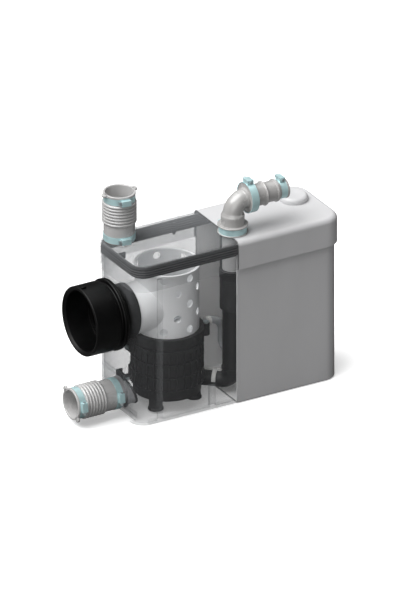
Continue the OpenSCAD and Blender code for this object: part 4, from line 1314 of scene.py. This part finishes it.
@dataclass
class Pump(Assembly):
    """Motor, pump and cutter, with the rubber feet under them; the feet stand on a circle."""

    x: float = -103.0
    ring: float = 47.0
    angles: tuple[float, ...] = (-145.0, -25.0, 95.0)
    foot: float = 14.0
    foot_bore: float = 4.0
    foot_low: float = 4.0
    foot_high: float = 26.0
    winding_in: float = 32.0
    winding_w: float = 18.0
    winding_h: float = 6.0
    winding_lows: tuple[float, float] = (53.0, 105.0)
    wires: int = 72
    wire_depth: float = 0.045

    def feet(self) -> bpy.types.Object:
        """Rubber feet: a waisted barrel on a flared pad.

        Returns:
            The three feet.
        """
        section = fillet(
            [
                (self.foot_bore, self.foot_low, 0.5),
                (self.foot, self.foot_low, 0.8),
                (self.foot, 7.0, 0.9),
                (12.5, 8.5, 1.0),
                (12.0, 15.0, 4.0),
                (12.5, self.foot_high, 1.0),
                (self.foot_bore, self.foot_high, 0.5),
            ]
        )
        turns = np.radians(self.angles)
        axis = Vector((self.x, 0.0, 0.0))
        out = [Vector((math.cos(turn), math.sin(turn), 0.0)) for turn in turns]
        feet = [ring_of(section, Axis.UP, (axis + way * self.ring) * MM, 64) for way in out]
        return make_piece("pump_buffers", *feet)

    def windings(self) -> bpy.types.Object:
        """End windings: a rounded ring whose surface is ribbed by its turns of wire.

        A point's way out from the middle of the ring's section is shortened and lengthened by a
        sine of its angle round the ring, with one wave for each wire.

        Returns:
            Both end windings.
        """
        steps = 4 * self.wires
        middle = self.winding_in + self.winding_w / 2
        shells = []
        for low in self.winding_lows:
            section = box_outline(self.winding_in, low, self.winding_w, self.winding_h, 2.6)
            ring = ring_of(section, Axis.UP, Vector((self.x, 0.0, 0.0)) * MM, steps)
            turn = np.repeat(np.linspace(0, 2 * math.pi, steps, endpoint=False), len(section))
            centre = np.array([self.x * MM, 0.0, (low + self.winding_h / 2) * MM])
            core = np.stack([np.cos(turn), np.sin(turn), 0 * turn], -1) * middle * MM
            lift = 1 + self.wire_depth * np.sin(turn * self.wires) - self.wire_depth
            ring.points = centre + core + (ring.points - centre - core) * lift[:, None]
            shells.append(ring)
        return make_piece("wound_ends", *shells)

    def build(self) -> None:
        """Makes the feet and windings and dresses the rest."""
        self.stand_in(self.feet(), "pump_feet", "tank", "seal_rubber", "black_rubber")
        self.stand_in(
            self.windings(), "stator_windings", "tank", "winding_copper", "winding_copper"
        )
        self.dress("pump_black", "volute_housing", "suction_plate")
        self.dress("pump_black", "motor_housing", "motor_top_cover")
        self.dress("ground_steel", "rotor_shaft", "cutter_blade", "cutter_nut", "shaft_bearings")
        self.dress("impeller_moulding", "impeller")
        self.dress("screw_steel", "top_cover_screws")
        self.dress("laminations", "stator_core", "rotor_core")
        self.dress("black_rubber", "shaft_seals")


@dataclass
class Inlets(Assembly):
    """Basket, low inlet with its flap, and the clamps of both inlets."""

    def build(self) -> None:
        """Dresses the basket, spigot, flap and clamps."""
        self.dress("basket_white", "macerator_basket")
        self.dress("spigot_grey", "low_inlet_spigot")
        self.dress("black_moulding", "flap_bracket")
        self.dress("flap_rubber", "inlet_flap")
        self.dress("clamp_steel", "low_inlet_clamps", "top_inlet_clamps")
        screws = ("low_inlet_clamp_screws", "top_inlet_clamp_screws")
        self.dress("screw_steel", "flap_pin", *screws)


@dataclass
class Controls(Assembly):
    """Vent and the electrical parts inside the grey section."""

    def build(self) -> None:
        """Dresses the vent, controls and gland."""
        self.dress("cap_grey", "vent_cap")
        self.dress("filter_foam", "vent_filter")
        self.dress("box_moulding", "control_box", "control_lid")
        self.dress("board_lacquer", "circuit_board")
        self.dress("white_moulding", "start_capacitor", "pressure_switch")
        self.dress("pipe_grey", "air_bell")
        self.dress("black_moulding", "cable_gland", "gland_nut")


def finishes() -> Paint:
    """Makes every finish of the object.

    Returns:
        The materials, by name.
    """
    made = [
        ClearMoulding("clear_tank", (0.70, 0.71, 0.72), front=0.04, back=0.4),
        ClearMoulding("clear_cover", (0.62, 0.63, 0.64), 0.1, 0.2, floor=0.0, edge=0.15, rib=0.0),
        # The housing's inner faces get a paler colour as painted light.
        Housed(
            "housing_grey", (0.755, 0.755, 0.76), 0.52, variation=0.04, inside=(0.97, 0.97, 0.97)
        ),
        Moulding("cap_grey", (0.76, 0.76, 0.765)),
        Moulding("basket_white", (0.93, 0.935, 0.94), 0.36),
        Moulding("spigot_grey", (0.66, 0.66, 0.67)),
        Moulding("black_moulding", (0.11, 0.11, 0.115), 0.4, variation=0.12),
        Moulding("pump_black", (0.12, 0.12, 0.125), 0.46, 0.15, 1500.0, 0.14),
        Moulding("white_moulding", (0.86, 0.86, 0.85), 0.3),
        Moulding("impeller_moulding", (0.76, 0.74, 0.66)),
        Moulding("pipe_grey", (0.72, 0.72, 0.72), 0.36),
        Moulding("box_moulding", (0.30, 0.31, 0.32), 0.5, 0.4),
        Moulding("board_lacquer", (0.10, 0.36, 0.22), 0.25, 0.1),
        Rubber(
            "gasket_rubber",
            (0.085, 0.085, 0.09),
            0.6,
            specular=0.2,
            # The ridges' crests get painted highlights at this pitch and height.
            crest_pitch=Housing.ridge_pitch * MM,
            crest_z=0.2913,
        ),
        Rubber("connector_rubber", (0.012, 0.012, 0.013), 0.42, 0.01, 0.05, 0.2),
        Rubber("sleeve_rubber", (0.70, 0.697, 0.695), 0.26, 0.1, 0.05, 1.0),
        Rubber("elbow_rubber", (0.63, 0.625, 0.62), 0.26, 0.1, 0.05, 1.0),
        Rubber("black_rubber", (0.14, 0.14, 0.145), 0.5),
        Rubber("hose_rubber", (0.64, 0.65, 0.66), 0.45),
        Rubber("flap_rubber", (0.13, 0.13, 0.13), 0.5),
        Metal("clamp_steel", (0.75, 0.87, 0.88), 0.35, 0.34),
        Metal("screw_steel", (0.76, 0.80, 0.81), 0.85, 0.3),
        Metal("ground_steel", (0.76, 0.77, 0.78), 1.0, 0.25),
        Metal("winding_copper", (0.78, 0.46, 0.24), 0.8, 0.35),
        Layers("laminations", (0.50, 0.51, 0.53)),
        Foam("filter_foam", (0.18, 0.18, 0.18)),
    ]
    return {finish.name: finish.build() for finish in made}


def main() -> None:
    """Builds the studio and every sub-assembly in order."""
    logging.basicConfig(level=logging.INFO, format="%(name)s: %(message)s")
    Studio().build()
    paint = finishes()
    parts = [
        Housing(paint),
        WcConnector(paint),
        InletSleeve(paint, "low_inlet_sleeve", "tank", Axis.LEFT, (-205.0, 0.0, 39.6), 45.0),
        InletSleeve(paint, "top_inlet_sleeve", "cover", Axis.UP, (-177.0, 39.0, 316.0), 0.0),
        Inlets(paint),
        Pump(paint),
        Riser(paint),
        Outlet(paint),
        Controls(paint),
    ]
    for part in parts:
        part.build()
        LOG.info("finished %s", type(part).__name__)


if __name__ == "__main__":
    main()
